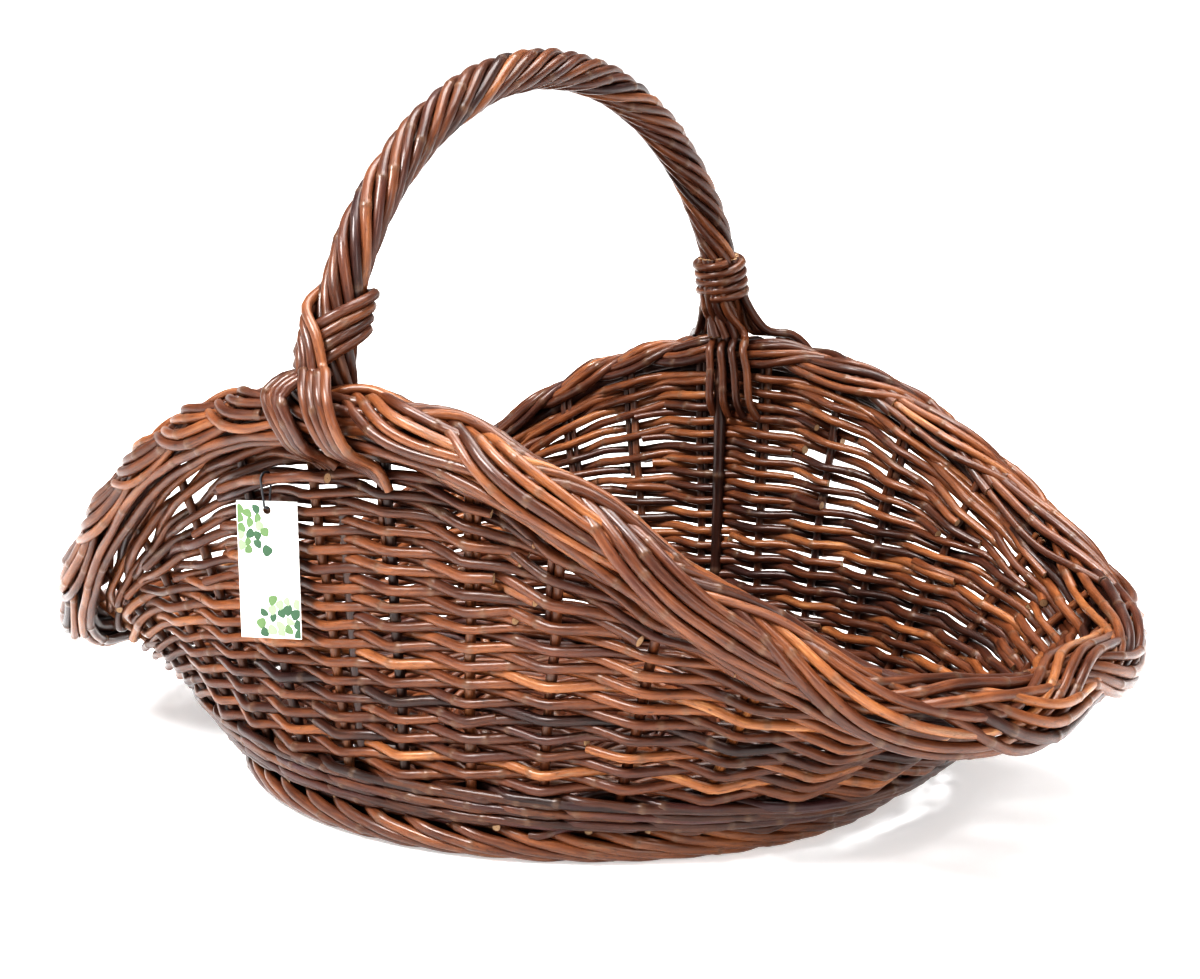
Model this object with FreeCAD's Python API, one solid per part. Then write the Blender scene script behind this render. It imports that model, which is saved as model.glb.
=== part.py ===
"""A boat-shaped woven willow basket for firewood, with an arched handle and a swing tag.

X runs along the basket, Y across it under the handle, Z up. The origin is on the floor below the
middle of the rim. All lengths are in millimetres.
"""

import FreeCAD
import Part
import math
import os

Vector = FreeCAD.Vector

# Plan of the rim and of the foot
RIM_HALF_LENGTH = 330.0
RIM_HALF_WIDTH = 209.0
RIM_SQUARENESS = 2.6
FOOT_HALF_LENGTH = 210.0
FOOT_HALF_WIDTH = 192.0
FOOT_SHIFT_X = 5.0

# Height of the rim: low at the two ends, high at the two sides
RIGHT_END_HEIGHT = 97.0
LEFT_END_HEIGHT = 61.0
NEAR_SIDE_HEIGHT = 238.0
FAR_SIDE_HEIGHT = 226.0
RIM_ARCH = 1.8

# Wall: a stake with a rod in front of it and a rod behind it
WALL_THICKNESS = 20.0
STAKE_RADIUS = 3.8
STAKE_COUNT = 32
STAKE_DEPTH = 10.0
WALL_FLOOR_GAP = 14.5
WALE_HEIGHT = 22.0
FULL_ROWS_HEIGHT = 92.0
ROW_BLEND = 6.0
FILL_LEAST_HEIGHT = 7.0
JOINT_GAP = 0.4
FIT_GAP = 0.3

# Rim border and foot border
BORDER_RADIUS = 19.5
BORDER_SIDES = 8
FOOT_BORDER_WIDTH = 16.0
FOOT_BORDER_HEIGHT = 14.0
FOOT_BORDER_INSET = 1.0
FOOT_BORDER_ROUNDING = 4.0

# Base: a cross of sticks that fan out, woven into a disc
BASE_STICK_RADIUS = 4.5
BASE_STICK_LEVEL = 19.0
BASE_STICK_COUNT = 4
BASE_STICK_SPACING = 9.3
CROSS_STICK_SPACING = 13.3
BASE_FAN_STEP = 20.0
BASE_BUNDLE_HALF = 34.0
BASE_BEND_RADIUS = 60.0
BASE_BOTTOM = 11.0
BASE_TOP = 27.0
BASE_INSET = 23.0
CROSS_STICK_RADIUS = 6.5

# Handle: a stout bow with rods twisted round it
HANDLE_X = -6.0
HANDLE_SHIFT_Y = -1.0
HANDLE_HALF_SPAN = 198.0
HANDLE_SPRING_HEIGHT = 250.0
HANDLE_RISE = 171.0
HANDLE_SHOULDER_RADIUS = 145.0
HANDLE_LEAN = math.radians(4.2)
BOW_RADIUS = 6.0
BOW_FOOT_HEIGHT = 45.0
ROPE_RADIUS = 12.5
ROD_RADIUS = 3.0
BINDING_TURNS = 4
BINDING_HEIGHT = 286.0
BINDING_SLACK = 2.0
LEG_RODS = 3
LEG_STEP = math.radians(38.0)
LEG_ROD_SPACING = 7.0
LEG_CORNER_ANGLES = (100.5, 38.0, -24.5)
LEFT_LEG_OVER_BORDER = -40.0
LEFT_LEG_TAIL = -22.0
RIGHT_LEG_OVER_BORDER = 16.0
RIGHT_LEG_TAIL = 30.0

# The rod under the border that the tag hangs on: it bows out from the wall in its middle
TAG_ROD_X = -47.0
TAG_ROD_HALF_BOW = 13.0
TAG_ROD_HALF_RAMP = 24.0
TAG_ROD_HALF_LENGTH = 44.0
TAG_ROD_DROP = 13.0
TAG_ROD_STAND_OFF = 7.0

# Swing tag on its tie
TAG_WIDTH = 35.0
TAG_HEIGHT = 76.0
TAG_THICKNESS = 0.8
TAG_HOLE_RADIUS = 2.3
TAG_HOLE_DROP = 5.0
TAG_TURN = math.radians(22.0)
TIE_RADIUS = 0.6
TIE_BEND_RADIUS = 2.0
TIE_LENGTH = 14.0

LOOP_POINTS = 72
FINE_STEPS = 1440


class PlanCurve:
    """A closed curve round the basket, read by the fraction of its length from the right end."""

    def __init__(self, place):
        self.points = [place(2 * math.pi * i / FINE_STEPS) for i in range(FINE_STEPS + 1)]
        self.lengths = [0.0]
        for start, end in zip(self.points, self.points[1:]):
            flat = Vector(end.x - start.x, end.y - start.y, 0)
            self.lengths.append(self.lengths[-1] + flat.Length)

    def at(self, fraction):
        wanted = (fraction % 1.0) * self.lengths[-1]
        low, high = 0, FINE_STEPS
        while high - low > 1:
            middle = (low + high) // 2
            if self.lengths[middle] <= wanted:
                low = middle
            else:
                high = middle
        share = (wanted - self.lengths[low]) / (self.lengths[high] - self.lengths[low])
        return self.points[low] * (1 - share) + self.points[high] * share

    def direction(self, fraction):
        step = 0.004
        return (self.at(fraction + step) - self.at(fraction - step)).normalize()


def foot_place(angle):
    return Vector(
        FOOT_SHIFT_X + FOOT_HALF_LENGTH * math.cos(angle), FOOT_HALF_WIDTH * math.sin(angle), 0
    )


def rim_place(angle):
    """A squared-off oval, low at its ends and arched up at its sides."""
    along, across = math.cos(angle), math.sin(angle)
    power = 2 / RIM_SQUARENESS
    x = RIM_HALF_LENGTH * math.copysign(abs(along) ** power, along)
    y = RIM_HALF_WIDTH * math.copysign(abs(across) ** power, across)
    right_share = (1 + along) / 2
    near_share = (1 - across) / 2
    end_height = RIGHT_END_HEIGHT * right_share + LEFT_END_HEIGHT * (1 - right_share)
    side_height = NEAR_SIDE_HEIGHT * near_share + FAR_SIDE_HEIGHT * (1 - near_share)
    arch = (1 - abs(along) ** RIM_ARCH) ** RIM_ARCH
    return Vector(x, y, end_height + (side_height - end_height) * arch)


FOOT = PlanCurve(foot_place)
RIM = PlanCurve(rim_place)


class WallLine:
    """One straight line up the wall's outer face, from the foot to the middle of the border."""

    def __init__(self, fraction):
        self.foot = FOOT.at(fraction)
        self.rim = RIM.at(fraction)
        self.length = (self.rim - self.foot).Length
        self.up = (self.rim - self.foot).normalize()
        self.foot_normal = FOOT.direction(fraction).cross(self.up).normalize()
        self.rim_normal = RIM.direction(fraction).cross(self.up).normalize()

    def normal(self, slant):
        share = slant / self.length
        return (self.foot_normal * (1 - share) + self.rim_normal * share).normalize()

    def point(self, slant, depth):
        """The point a slant distance up the wall and a depth inside its outer face."""
        return self.foot + self.up * slant - self.normal(slant) * depth

    def slant_at_height(self, height, depth):
        return (height + depth * self.foot_normal.z) / self.up.z

    def wale_foot(self):
        """How far up the outer face the wall's weave starts, above the foot border."""
        return self.slant_at_height(WALL_FLOOR_GAP, 0)

    def wale_top(self):
        return self.wale_foot() + WALE_HEIGHT

    def border_foot(self):
        """Where the weave stops, under the rim border."""
        return self.length - BORDER_RADIUS - JOINT_GAP

    def full_rows_top(self):
        """The top of the rows that run all the way round."""
        room = self.border_foot() - self.wale_top()
        excess = ROW_BLEND * math.log1p(math.exp((room - FULL_ROWS_HEIGHT) / ROW_BLEND))
        return self.border_foot() - excess


LINES = [WallLine(i / LOOP_POINTS) for i in range(LOOP_POINTS)]


def closed_edge(points):
    curve = Part.BSplineCurve()
    curve.interpolate(Points=points, PeriodicFlag=True)
    return curve.toShape()


def solid_from_faces(faces):
    shell = Part.makeShell(faces)
    shell.sewShape()
    solid = Part.makeSolid(shell)
    if solid.Volume < 0:
        solid.reverse()
    return solid


def ring_solid(loops):
    """A closed ring whose section's corners follow the loops."""
    edges = [closed_edge(points) for points in loops]
    faces = []
    for index, edge in enumerate(edges):
        faces.append(Part.makeRuledSurface(edge, edges[(index + 1) % len(edges)]))
    return solid_from_faces(faces)


def band_solid(rows):
    """A band that ends, whose section's four corners follow the open rows of points."""
    edges = []
    for points in rows:
        curve = Part.BSplineCurve()
        curve.interpolate(Points=points)
        edges.append(curve.toShape())
    faces = []
    for index, edge in enumerate(edges):
        faces.append(Part.makeRuledSurface(edge, edges[(index + 1) % len(edges)]))
    for end in (0, -1):
        corners = [points[end] for points in rows]
        first = Part.makeLine(corners[0], corners[1])
        second = Part.makeLine(corners[3], corners[2])
        faces.append(Part.makeRuledSurface(first, second))
    return solid_from_faces(faces)


def rounded_path(points, radius):
    """Straight runs between the points, joined by tangent arcs."""
    edges = []
    start = points[0]
    for before, corner, after in zip(points, points[1:], points[2:]):
        back = (before - corner).normalize()
        ahead = (after - corner).normalize()
        half_turn = (math.pi - back.getAngle(ahead)) / 2
        room = 0.45 * min((before - corner).Length, (after - corner).Length)
        cut = min(radius * math.tan(half_turn), room)
        arc_radius = cut / math.tan(half_turn)
        arc_start = corner + back * cut
        arc_end = corner + ahead * cut
        inward = (back + ahead).normalize()
        centre_distance = math.hypot(arc_radius, cut)
        middle = corner + inward * (centre_distance - arc_radius)
        edges.append(Part.LineSegment(start, arc_start).toShape())
        edges.append(Part.Arc(arc_start, middle, arc_end).toShape())
        start = arc_end
    edges.append(Part.LineSegment(start, points[-1]).toShape())
    return Part.Wire(edges)


def rod_along(path, radius):
    """A round rod along a wire of runs and arcs."""
    first = path.OrderedEdges[0]
    start = first.valueAt(first.FirstParameter)
    if (start - path.OrderedVertexes[0].Point).Length > 1e-6:
        start = path.OrderedVertexes[0].Point
    direction = first.tangentAt(first.FirstParameter)
    circle = Part.Wire([Part.makeCircle(radius, start, direction)])
    return path.makePipeShell([circle], True, False)


def straight_rod(start, end, radius):
    return Part.makeCylinder(radius, (end - start).Length, start, end - start)


# --- foot and base -------------------------------------------------------------------------


def foot_loop(inset, height):
    """The foot's outline moved inwards, at a height."""
    points = []
    for index in range(LOOP_POINTS):
        fraction = index / LOOP_POINTS
        outward = FOOT.direction(fraction).cross(Vector(0, 0, 1))
        points.append(FOOT.at(fraction) - outward * inset + Vector(0, 0, height))
    return points


def foot_disc(inset, bottom, top):
    wire = Part.Wire([closed_edge(foot_loop(inset, bottom))])
    return Part.Face(wire).extrude(Vector(0, 0, top - bottom))


def foot_border():
    """A ring that stands on a flat face, with its outer and inner edges stepped in at floor and top."""
    inner = FOOT_BORDER_INSET + FOOT_BORDER_WIDTH
    step = FOOT_BORDER_ROUNDING
    top = FOOT_BORDER_HEIGHT
    wide = foot_disc(FOOT_BORDER_INSET, step, top - step)
    wide = wide.cut(foot_disc(inner, step, top - step))
    tall = foot_disc(FOOT_BORDER_INSET + step, 0, top)
    tall = tall.cut(foot_disc(inner - step, 0, top))
    return wide.fuse(tall)


def base_stick_path(index, along_x):
    """A stick through the middle of the base that fans out at both ends."""
    spacing = BASE_STICK_SPACING if along_x else CROSS_STICK_SPACING
    offset = (index - (BASE_STICK_COUNT - 1) / 2) * spacing
    fan = math.radians((index - (BASE_STICK_COUNT - 1) / 2) * BASE_FAN_STEP)
    half_length = FOOT_HALF_LENGTH if along_x else FOOT_HALF_WIDTH
    reach = half_length - BASE_INSET - BASE_STICK_RADIUS
    points = []
    for side in (-1, 1):
        run = reach * math.cos(fan) - BASE_BUNDLE_HALF
        tip = (side * reach * math.cos(fan), offset + run * math.tan(fan))
        bend = (side * BASE_BUNDLE_HALF, offset)
        points += [tip, bend] if side < 0 else [bend, tip]
    if along_x:
        return [Vector(FOOT_SHIFT_X + x, y, BASE_STICK_LEVEL) for x, y in points]
    return [Vector(FOOT_SHIFT_X + y, x, BASE_STICK_LEVEL) for x, y in points]


def base_stick(index, along_x, gap=0.0):
    path = rounded_path(base_stick_path(index, along_x), BASE_BEND_RADIUS)
    radius = BASE_STICK_RADIUS if along_x else CROSS_STICK_RADIUS
    return rod_along(path, radius + gap)


def base_sticks():
    """The long sticks pass through a split in each cross stick."""
    nodes = {}
    splits = [base_stick(i, True, FIT_GAP) for i in range(BASE_STICK_COUNT)]
    for index in range(BASE_STICK_COUNT):
        nodes[f"base_stick_long_{index + 1}"] = base_stick(index, True)
        nodes[f"base_stick_cross_{index + 1}"] = base_stick(index, False).cut(splits)
    return nodes


def base_weave():
    channels = []
    for index in range(BASE_STICK_COUNT):
        channels.append(base_stick(index, True, FIT_GAP))
        channels.append(base_stick(index, False, FIT_GAP))
    return foot_disc(BASE_INSET, BASE_BOTTOM, BASE_TOP).cut(channels)


# --- wall ----------------------------------------------------------------------------------


def stake_ends(line, gap=0.0):
    floor = WALL_FLOOR_GAP + STAKE_RADIUS + 1
    low = line.point(line.slant_at_height(floor, STAKE_DEPTH) - gap, STAKE_DEPTH)
    high = line.point(line.border_foot() - 1 + gap, STAKE_DEPTH)
    return low, high


def side_stakes():
    nodes = {}
    for index in range(STAKE_COUNT):
        low, high = stake_ends(WallLine((index + 0.5) / STAKE_COUNT))
        nodes[f"side_stake_{index + 1:02d}"] = straight_rod(low, high, STAKE_RADIUS)
    return nodes


def stake_channels():
    """Room for the stakes in the weave."""
    channels = []
    for index in range(STAKE_COUNT):
        low, high = stake_ends(WallLine((index + 0.5) / STAKE_COUNT), gap=12.0)
        channels.append(straight_rod(low, high, STAKE_RADIUS + FIT_GAP))
    return channels


def wall_ring(bottom, top):
    """A ring of the wall, between two functions that give a slant height for a line and a depth."""
    loops = [
        [line.point(bottom(line, 0), 0) for line in LINES],
        [line.point(bottom(line, WALL_THICKNESS), WALL_THICKNESS) for line in LINES],
        [line.point(top(line), WALL_THICKNESS) for line in LINES],
        [line.point(top(line), 0) for line in LINES],
    ]
    return ring_solid(loops)


def lower_wale():
    return wall_ring(
        lambda line, depth: line.slant_at_height(WALL_FLOOR_GAP, depth), WallLine.wale_top
    )


def side_weave():
    return wall_ring(
        lambda line, depth: line.wale_top() + JOINT_GAP, WallLine.full_rows_top
    )


def fill_rows(middle_fraction):
    """The rows that build up one high side and run out towards both ends."""
    lines = []
    for step in range(-LOOP_POINTS, LOOP_POINTS + 1):
        line = WallLine(middle_fraction + step / (4 * LOOP_POINTS))
        if line.border_foot() - line.full_rows_top() > FILL_LEAST_HEIGHT:
            lines.append(line)
    corners = [
        (lambda line: line.full_rows_top() + JOINT_GAP, 0),
        (lambda line: line.full_rows_top() + JOINT_GAP, WALL_THICKNESS),
        (WallLine.border_foot, WALL_THICKNESS),
        (WallLine.border_foot, 0),
    ]
    rows = []
    for slant, depth in corners:
        rows.append([line.point(slant(line), depth) for line in lines[::2]])
    return band_solid(rows)


def rim_border():
    loops = []
    for corner in range(BORDER_SIDES):
        angle = 2 * math.pi * (corner + 0.5) / BORDER_SIDES
        out, rise = BORDER_RADIUS * math.cos(angle), BORDER_RADIUS * math.sin(angle)
        loops.append([line.rim + line.rim_normal * out + line.up * rise for line in LINES])
    return ring_solid(loops)


# --- handle --------------------------------------------------------------------------------


def handle_point(across, height):
    return Vector(HANDLE_X, HANDLE_SHIFT_Y + across, height)


def handle_arcs(lean):
    """The arch's near shoulder, crown and far shoulder, which run a little past upright by lean."""
    shoulder = HANDLE_SHOULDER_RADIUS
    overhang = HANDLE_HALF_SPAN - shoulder
    headroom = HANDLE_RISE - shoulder
    drop = (overhang**2 - headroom**2) / (2 * headroom)
    crown = HANDLE_RISE + drop
    meeting = math.atan2(drop, overhang)

    def on_shoulder(side, angle):
        across = side * (overhang + shoulder * math.cos(angle))
        return handle_point(across, HANDLE_SPRING_HEIGHT + shoulder * math.sin(angle))

    near = [on_shoulder(-1, a) for a in (-lean, (meeting - lean) / 2, meeting)]
    far = [on_shoulder(1, a) for a in (meeting, (meeting - lean) / 2, -lean)]
    top = handle_point(0, HANDLE_SPRING_HEIGHT - drop + crown)
    return [Part.Arc(*near), Part.Arc(near[2], top, far[0]), Part.Arc(*far)]


def bow_path():
    """The bow's arch with a straight leg down inside each wall."""
    arcs = handle_arcs(HANDLE_LEAN)
    near_top = arcs[0].StartPoint
    far_top = arcs[2].EndPoint
    fall = near_top.z - BOW_FOOT_HEIGHT
    inward = Vector(0, fall * math.tan(HANDLE_LEAN), -fall)
    near_foot = near_top + inward
    far_foot = far_top + Vector(0, -inward.y, inward.z)
    edges = [Part.LineSegment(near_foot, near_top).toShape()]
    edges += [arc.toShape() for arc in arcs]
    edges.append(Part.LineSegment(far_top, far_foot).toShape())
    return Part.Wire(edges)


def handle_bow(gap=0.0):
    return rod_along(bow_path(), BOW_RADIUS + gap)


def handle_rope():
    """The twisted rods, as one tube round the bow, down to the two bindings."""
    height = BINDING_HEIGHT + BINDING_TURNS * ROD_RADIUS + JOINT_GAP
    sine = (height - HANDLE_SPRING_HEIGHT) / HANDLE_SHOULDER_RADIUS
    path = Part.Wire([arc.toShape() for arc in handle_arcs(-math.asin(sine))])
    return rod_along(path, ROPE_RADIUS).cut(rod_along(path, BOW_RADIUS + FIT_GAP))


def handle_axis(side, height):
    """A point on the bow's centre line near one foot, and the direction up the bow there."""
    shoulder = HANDLE_SHOULDER_RADIUS
    sine = (height - HANDLE_SPRING_HEIGHT) / shoulder
    cosine = math.sqrt(1 - sine**2)
    across = side * (HANDLE_HALF_SPAN - shoulder + shoulder * cosine)
    return handle_point(across, height), Vector(0, -side * sine, cosine)


def handle_binding(side):
    """The turns of rod that bind one foot of the handle."""
    centre, upward = handle_axis(side, BINDING_HEIGHT)
    ring_radius = BOW_RADIUS + 3 * ROD_RADIUS + BINDING_SLACK
    turns = []
    for turn in range(BINDING_TURNS):
        level = (turn - (BINDING_TURNS - 1) / 2) * (2 * ROD_RADIUS + FIT_GAP)
        turns.append(Part.makeTorus(ring_radius, ROD_RADIUS, centre + upward * level, upward))
    return Part.makeCompound(turns)


def leg_rod(side, over_border, tail, index):
    """One rod of a leg, from inside the binding over the border and down its outer face.

    over_border and tail say how far to the right of the bow, seen from outside, the rod crosses
    the border and ends.
    """
    centre, upward = handle_axis(side, BINDING_HEIGHT)
    direction = math.copysign(1, over_border)
    around = LEG_STEP * (index + 0.5) * direction
    reach = BOW_RADIUS + ROD_RADIUS + FIT_GAP
    outward = Vector(0, side, 0)
    rightward = Vector(-side, 0, 0)
    spoke = outward * (reach * math.cos(around)) + rightward * (reach * math.sin(around))
    half_binding = BINDING_TURNS * ROD_RADIUS + 2 * ROD_RADIUS
    middle = 0.75 if side < 0 else 0.25
    shift = direction * index * LEG_ROD_SPACING - side * HANDLE_X
    crossing = WallLine(middle + (over_border + shift) / RIM.lengths[-1])
    ending = WallLine(middle + (tail + shift) / RIM.lengths[-1])
    end = ending.point(ending.border_foot() - ROD_RADIUS, -ROD_RADIUS - JOINT_GAP)
    half_step = math.radians(LEG_CORNER_ANGLES[0] - LEG_CORNER_ANGLES[1]) / 2
    over = (BORDER_RADIUS + ROD_RADIUS + 3 * JOINT_GAP) / math.cos(half_step)
    points = [
        centre + upward * (BINDING_TURNS * ROD_RADIUS) + spoke,
        centre - upward * half_binding + spoke,
    ]
    for degrees in LEG_CORNER_ANGLES:
        angle = math.radians(degrees)
        rise, out = over * math.sin(angle), over * math.cos(angle)
        points.append(crossing.rim + crossing.up * rise + crossing.rim_normal * out)
    points.append(end)
    return rod_along(rounded_path(points, 5 * ROD_RADIUS), ROD_RADIUS)


def handle_leg(side, over_border, tail):
    rods = [leg_rod(side, over_border, tail, index) for index in range(LEG_RODS)]
    return Part.makeCompound(rods)


# --- swing tag -----------------------------------------------------------------------------


def tag_rod_line(offset):
    return WallLine(0.75 + (TAG_ROD_X + offset) / RIM.lengths[-1])


def tag_rod_point(offset, stand_off):
    line = tag_rod_line(offset)
    return line.point(line.border_foot() - TAG_ROD_DROP, -stand_off)


def tag_rod():
    """The row rod under the border that bows out enough to pass a tie behind it."""
    resting = ROD_RADIUS + JOINT_GAP
    points = [
        tag_rod_point(-TAG_ROD_HALF_LENGTH, resting),
        tag_rod_point(-TAG_ROD_HALF_RAMP, resting),
        tag_rod_point(-TAG_ROD_HALF_BOW, TAG_ROD_STAND_OFF),
        tag_rod_point(TAG_ROD_HALF_BOW, TAG_ROD_STAND_OFF),
        tag_rod_point(TAG_ROD_HALF_RAMP, resting),
        tag_rod_point(TAG_ROD_HALF_LENGTH, resting),
    ]
    return rod_along(rounded_path(points, 10 * ROD_RADIUS), ROD_RADIUS)


def tie_frame():
    """The middle of the rod where the tie hangs, the rod's direction and the way out of the wall."""
    start = tag_rod_point(-TAG_ROD_HALF_BOW, TAG_ROD_STAND_OFF)
    end = tag_rod_point(TAG_ROD_HALF_BOW, TAG_ROD_STAND_OFF)
    along = (end - start).normalize()
    out = along.cross(Vector(0, 0, 1)).normalize()
    return (start + end) * 0.5, along, out


def tie_bottom():
    """The middle of the wire at the bottom of the tie, which the tag hangs on."""
    hook, along, out = tie_frame()
    return hook - Vector(0, 0, TIE_LENGTH + TIE_BEND_RADIUS)


def tag_loop():
    """The tie, a closed loop of thin wire round the rod and through the tag's hole."""
    hook, along, out = tie_frame()
    upward = Vector(0, 0, 1)
    top_radius = ROD_RADIUS + TIE_RADIUS + FIT_GAP
    low_centre = hook - upward * TIE_LENGTH
    fall = (top_radius - TIE_BEND_RADIUS) / TIE_LENGTH
    flare = math.sqrt(1 - fall**2)
    outer = out * flare - upward * fall
    inner = out * -flare - upward * fall
    top_outer = hook + outer * top_radius
    top_inner = hook + inner * top_radius
    low_outer = low_centre + outer * TIE_BEND_RADIUS
    low_inner = low_centre + inner * TIE_BEND_RADIUS
    edges = [
        Part.LineSegment(low_outer, top_outer).toShape(),
        Part.Arc(top_outer, hook + upward * top_radius, top_inner).toShape(),
        Part.LineSegment(top_inner, low_inner).toShape(),
        Part.Arc(low_inner, low_centre - upward * TIE_BEND_RADIUS, low_outer).toShape(),
    ]
    circle = Part.Wire([Part.makeCircle(TIE_RADIUS, low_outer, top_outer - low_outer)])
    return Part.Wire(edges).makePipeShell([circle], True, False)


def tag_directions():
    across = Vector(math.cos(TAG_TURN), math.sin(TAG_TURN), 0)
    return across, across.cross(Vector(0, 0, 1))


def swing_tag():
    """A card with a punched hole, hanging on the bottom of the tie."""
    across, out = tag_directions()
    hole = tie_bottom() - Vector(0, 0, TAG_HOLE_RADIUS - TIE_RADIUS - 2 * FIT_GAP)
    top = hole + Vector(0, 0, TAG_HOLE_DROP)
    corner = top - across * (TAG_WIDTH / 2) - out * (TAG_THICKNESS / 2)
    corner = corner - Vector(0, 0, TAG_HEIGHT)
    points = [corner, corner + across * TAG_WIDTH]
    points += [points[1] + Vector(0, 0, TAG_HEIGHT), corner + Vector(0, 0, TAG_HEIGHT), corner]
    card = Part.Face(Part.makePolygon(points)).extrude(out * TAG_THICKNESS)
    punch_start = hole - out * TAG_THICKNESS
    return card.cut(Part.makeCylinder(TAG_HOLE_RADIUS, 2 * TAG_THICKNESS, punch_start, out))


def write(name, shape):
    if not shape.isValid():
        print("not valid:", name)
    volume = sum(solid.Volume for solid in shape.Solids)
    print(f"{name}: {len(shape.Solids)} solids, {volume / 1000:.1f} cm3")
    shape.exportStep(os.path.join("parts", name + ".step"))


def main():
    os.makedirs("parts", exist_ok=True)
    nodes = {"foot_border": foot_border()}
    nodes.update(base_sticks())
    nodes["base_weave"] = base_weave()
    nodes.update(side_stakes())
    channels = stake_channels() + [handle_bow(FIT_GAP)]
    nodes["lower_wale"] = lower_wale().cut(channels)
    nodes["side_weave"] = side_weave().cut(channels)
    nodes["fill_near"] = fill_rows(0.75).cut(channels)
    nodes["fill_far"] = fill_rows(0.25).cut(channels)
    nodes["rim_border"] = rim_border().cut([handle_bow(FIT_GAP)])
    nodes["handle_bow"] = handle_bow()
    nodes["handle_rope"] = handle_rope()
    for place, side in (("near", -1), ("far", 1)):
        nodes[f"handle_binding_{place}"] = handle_binding(side)
        nodes[f"handle_leg_{place}_left"] = handle_leg(side, LEFT_LEG_OVER_BORDER, LEFT_LEG_TAIL)
        nodes[f"handle_leg_{place}_right"] = handle_leg(side, RIGHT_LEG_OVER_BORDER, RIGHT_LEG_TAIL)
    nodes["tag_rod"] = tag_rod()
    nodes["tag_loop"] = tag_loop()
    nodes["swing_tag"] = swing_tag()
    for name, shape in nodes.items():
        write(name, shape)


main()
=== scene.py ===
"""The looks of the woven willow basket: every rod of its weave, its borders, its twisted handle and
the swing tag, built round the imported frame. Lengths are in millimetres until a mesh is made."""

import math

import bpy
import numpy as np
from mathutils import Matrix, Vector


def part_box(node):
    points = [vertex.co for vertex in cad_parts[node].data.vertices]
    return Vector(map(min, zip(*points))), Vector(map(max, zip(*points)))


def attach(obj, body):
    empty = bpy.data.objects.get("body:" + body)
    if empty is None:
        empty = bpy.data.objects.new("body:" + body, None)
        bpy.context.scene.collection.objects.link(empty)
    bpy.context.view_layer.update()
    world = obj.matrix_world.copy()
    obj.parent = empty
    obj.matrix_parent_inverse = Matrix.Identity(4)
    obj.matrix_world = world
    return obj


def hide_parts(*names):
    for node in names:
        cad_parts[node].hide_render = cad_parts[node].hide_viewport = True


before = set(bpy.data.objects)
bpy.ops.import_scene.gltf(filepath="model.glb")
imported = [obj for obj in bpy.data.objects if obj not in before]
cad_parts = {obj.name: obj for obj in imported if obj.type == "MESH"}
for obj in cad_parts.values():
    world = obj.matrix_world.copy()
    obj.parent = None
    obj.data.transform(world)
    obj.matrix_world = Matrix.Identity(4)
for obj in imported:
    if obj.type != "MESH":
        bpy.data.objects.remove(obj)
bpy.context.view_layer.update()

MM = 0.001
TAU = 2 * math.pi
NEAR, FAR = 0.75, 0.25
dice = np.random.default_rng(41)

# The wall's two outlines and heights, as in the CAD part
RIM_HALF_LENGTH, RIM_HALF_WIDTH, RIM_SQUARENESS = 330.0, 209.0, 2.6
FOOT_HALF_LENGTH, FOOT_HALF_WIDTH, FOOT_SHIFT_X = 210.0, 192.0, 5.0
RIGHT_END_HEIGHT, LEFT_END_HEIGHT = 97.0, 61.0
NEAR_SIDE_HEIGHT, FAR_SIDE_HEIGHT, RIM_ARCH = 238.0, 226.0, 1.8
WALL_FLOOR_GAP, WALE_HEIGHT, FULL_ROWS_HEIGHT, ROW_BLEND = 20.5, 19.5, 88.5, 6.0
STAKE_COUNT, STAKE_DEPTH, STAKE_RADIUS = 32, 10.0, 3.1
BORDER_RADIUS, JOINT_GAP = 19.5, 0.4
BASE_EDGE_LEVEL = 19.5

# Rods
WEAVE_RADIUS = 2.9
WALE_RADIUS = 2.9
WEAVE_SWING = 5.4
FULL_ROWS = 17
FILL_ROWS = 17
LEAST_PITCH = 4.3
RESPACING = 9.0
WALE_ROWS = 3
LEAD_PITCH = 5.4
LEAST_SAMPLES = 30
PLAIT_PERIODS = 9
PLAIT_REACH = 14.5
PLAIT_WIDTH = 17.0
PLAIT_LIFT = 3.1
PLAIT_RODS = 4
PLAIT_ROD_RADIUS = 3.1

# Handle
HANDLE_X, HANDLE_SHIFT_Y, HANDLE_HALF_SPAN = -6.0, -1.0, 198.0
SPRING_HEIGHT, HANDLE_RISE, SHOULDER_RADIUS = 250.0, 171.0, 145.0
HANDLE_LEAN = math.radians(4.2)
BOW_FOOT_HEIGHT, BOW_RADIUS = 45.0, 6.0
ROPE_RODS, ROPE_REACH, ROPE_ROD_RADIUS, ROPE_TURN = 9, 9.3, 3.15, 150.0
BINDING_HEIGHT = 286.0
LEG_RADIUS = 3.0


def unit(vectors):
    """The same directions, at length 1."""
    return vectors / np.linalg.norm(vectors, axis=-1, keepdims=True)


def smoothed(values, half):
    """A moving average that takes in this many neighbours on each side."""
    width = 2 * half + 1
    return np.convolve(np.pad(values, half, "edge"), np.ones(width) / width, "valid")


def in_scene(name, data):
    """A new object with this data, linked to the scene."""
    item = bpy.data.objects.new(name, data)
    bpy.context.scene.collection.objects.link(item)
    return item


# --- the wall's surface --------------------------------------------------------------------


def foot_place(angle):
    """The foot's outer edge, an oval on the floor."""
    x = FOOT_SHIFT_X + FOOT_HALF_LENGTH * np.cos(angle)
    return np.stack([x, FOOT_HALF_WIDTH * np.sin(angle), 0 * angle], -1)


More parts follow.
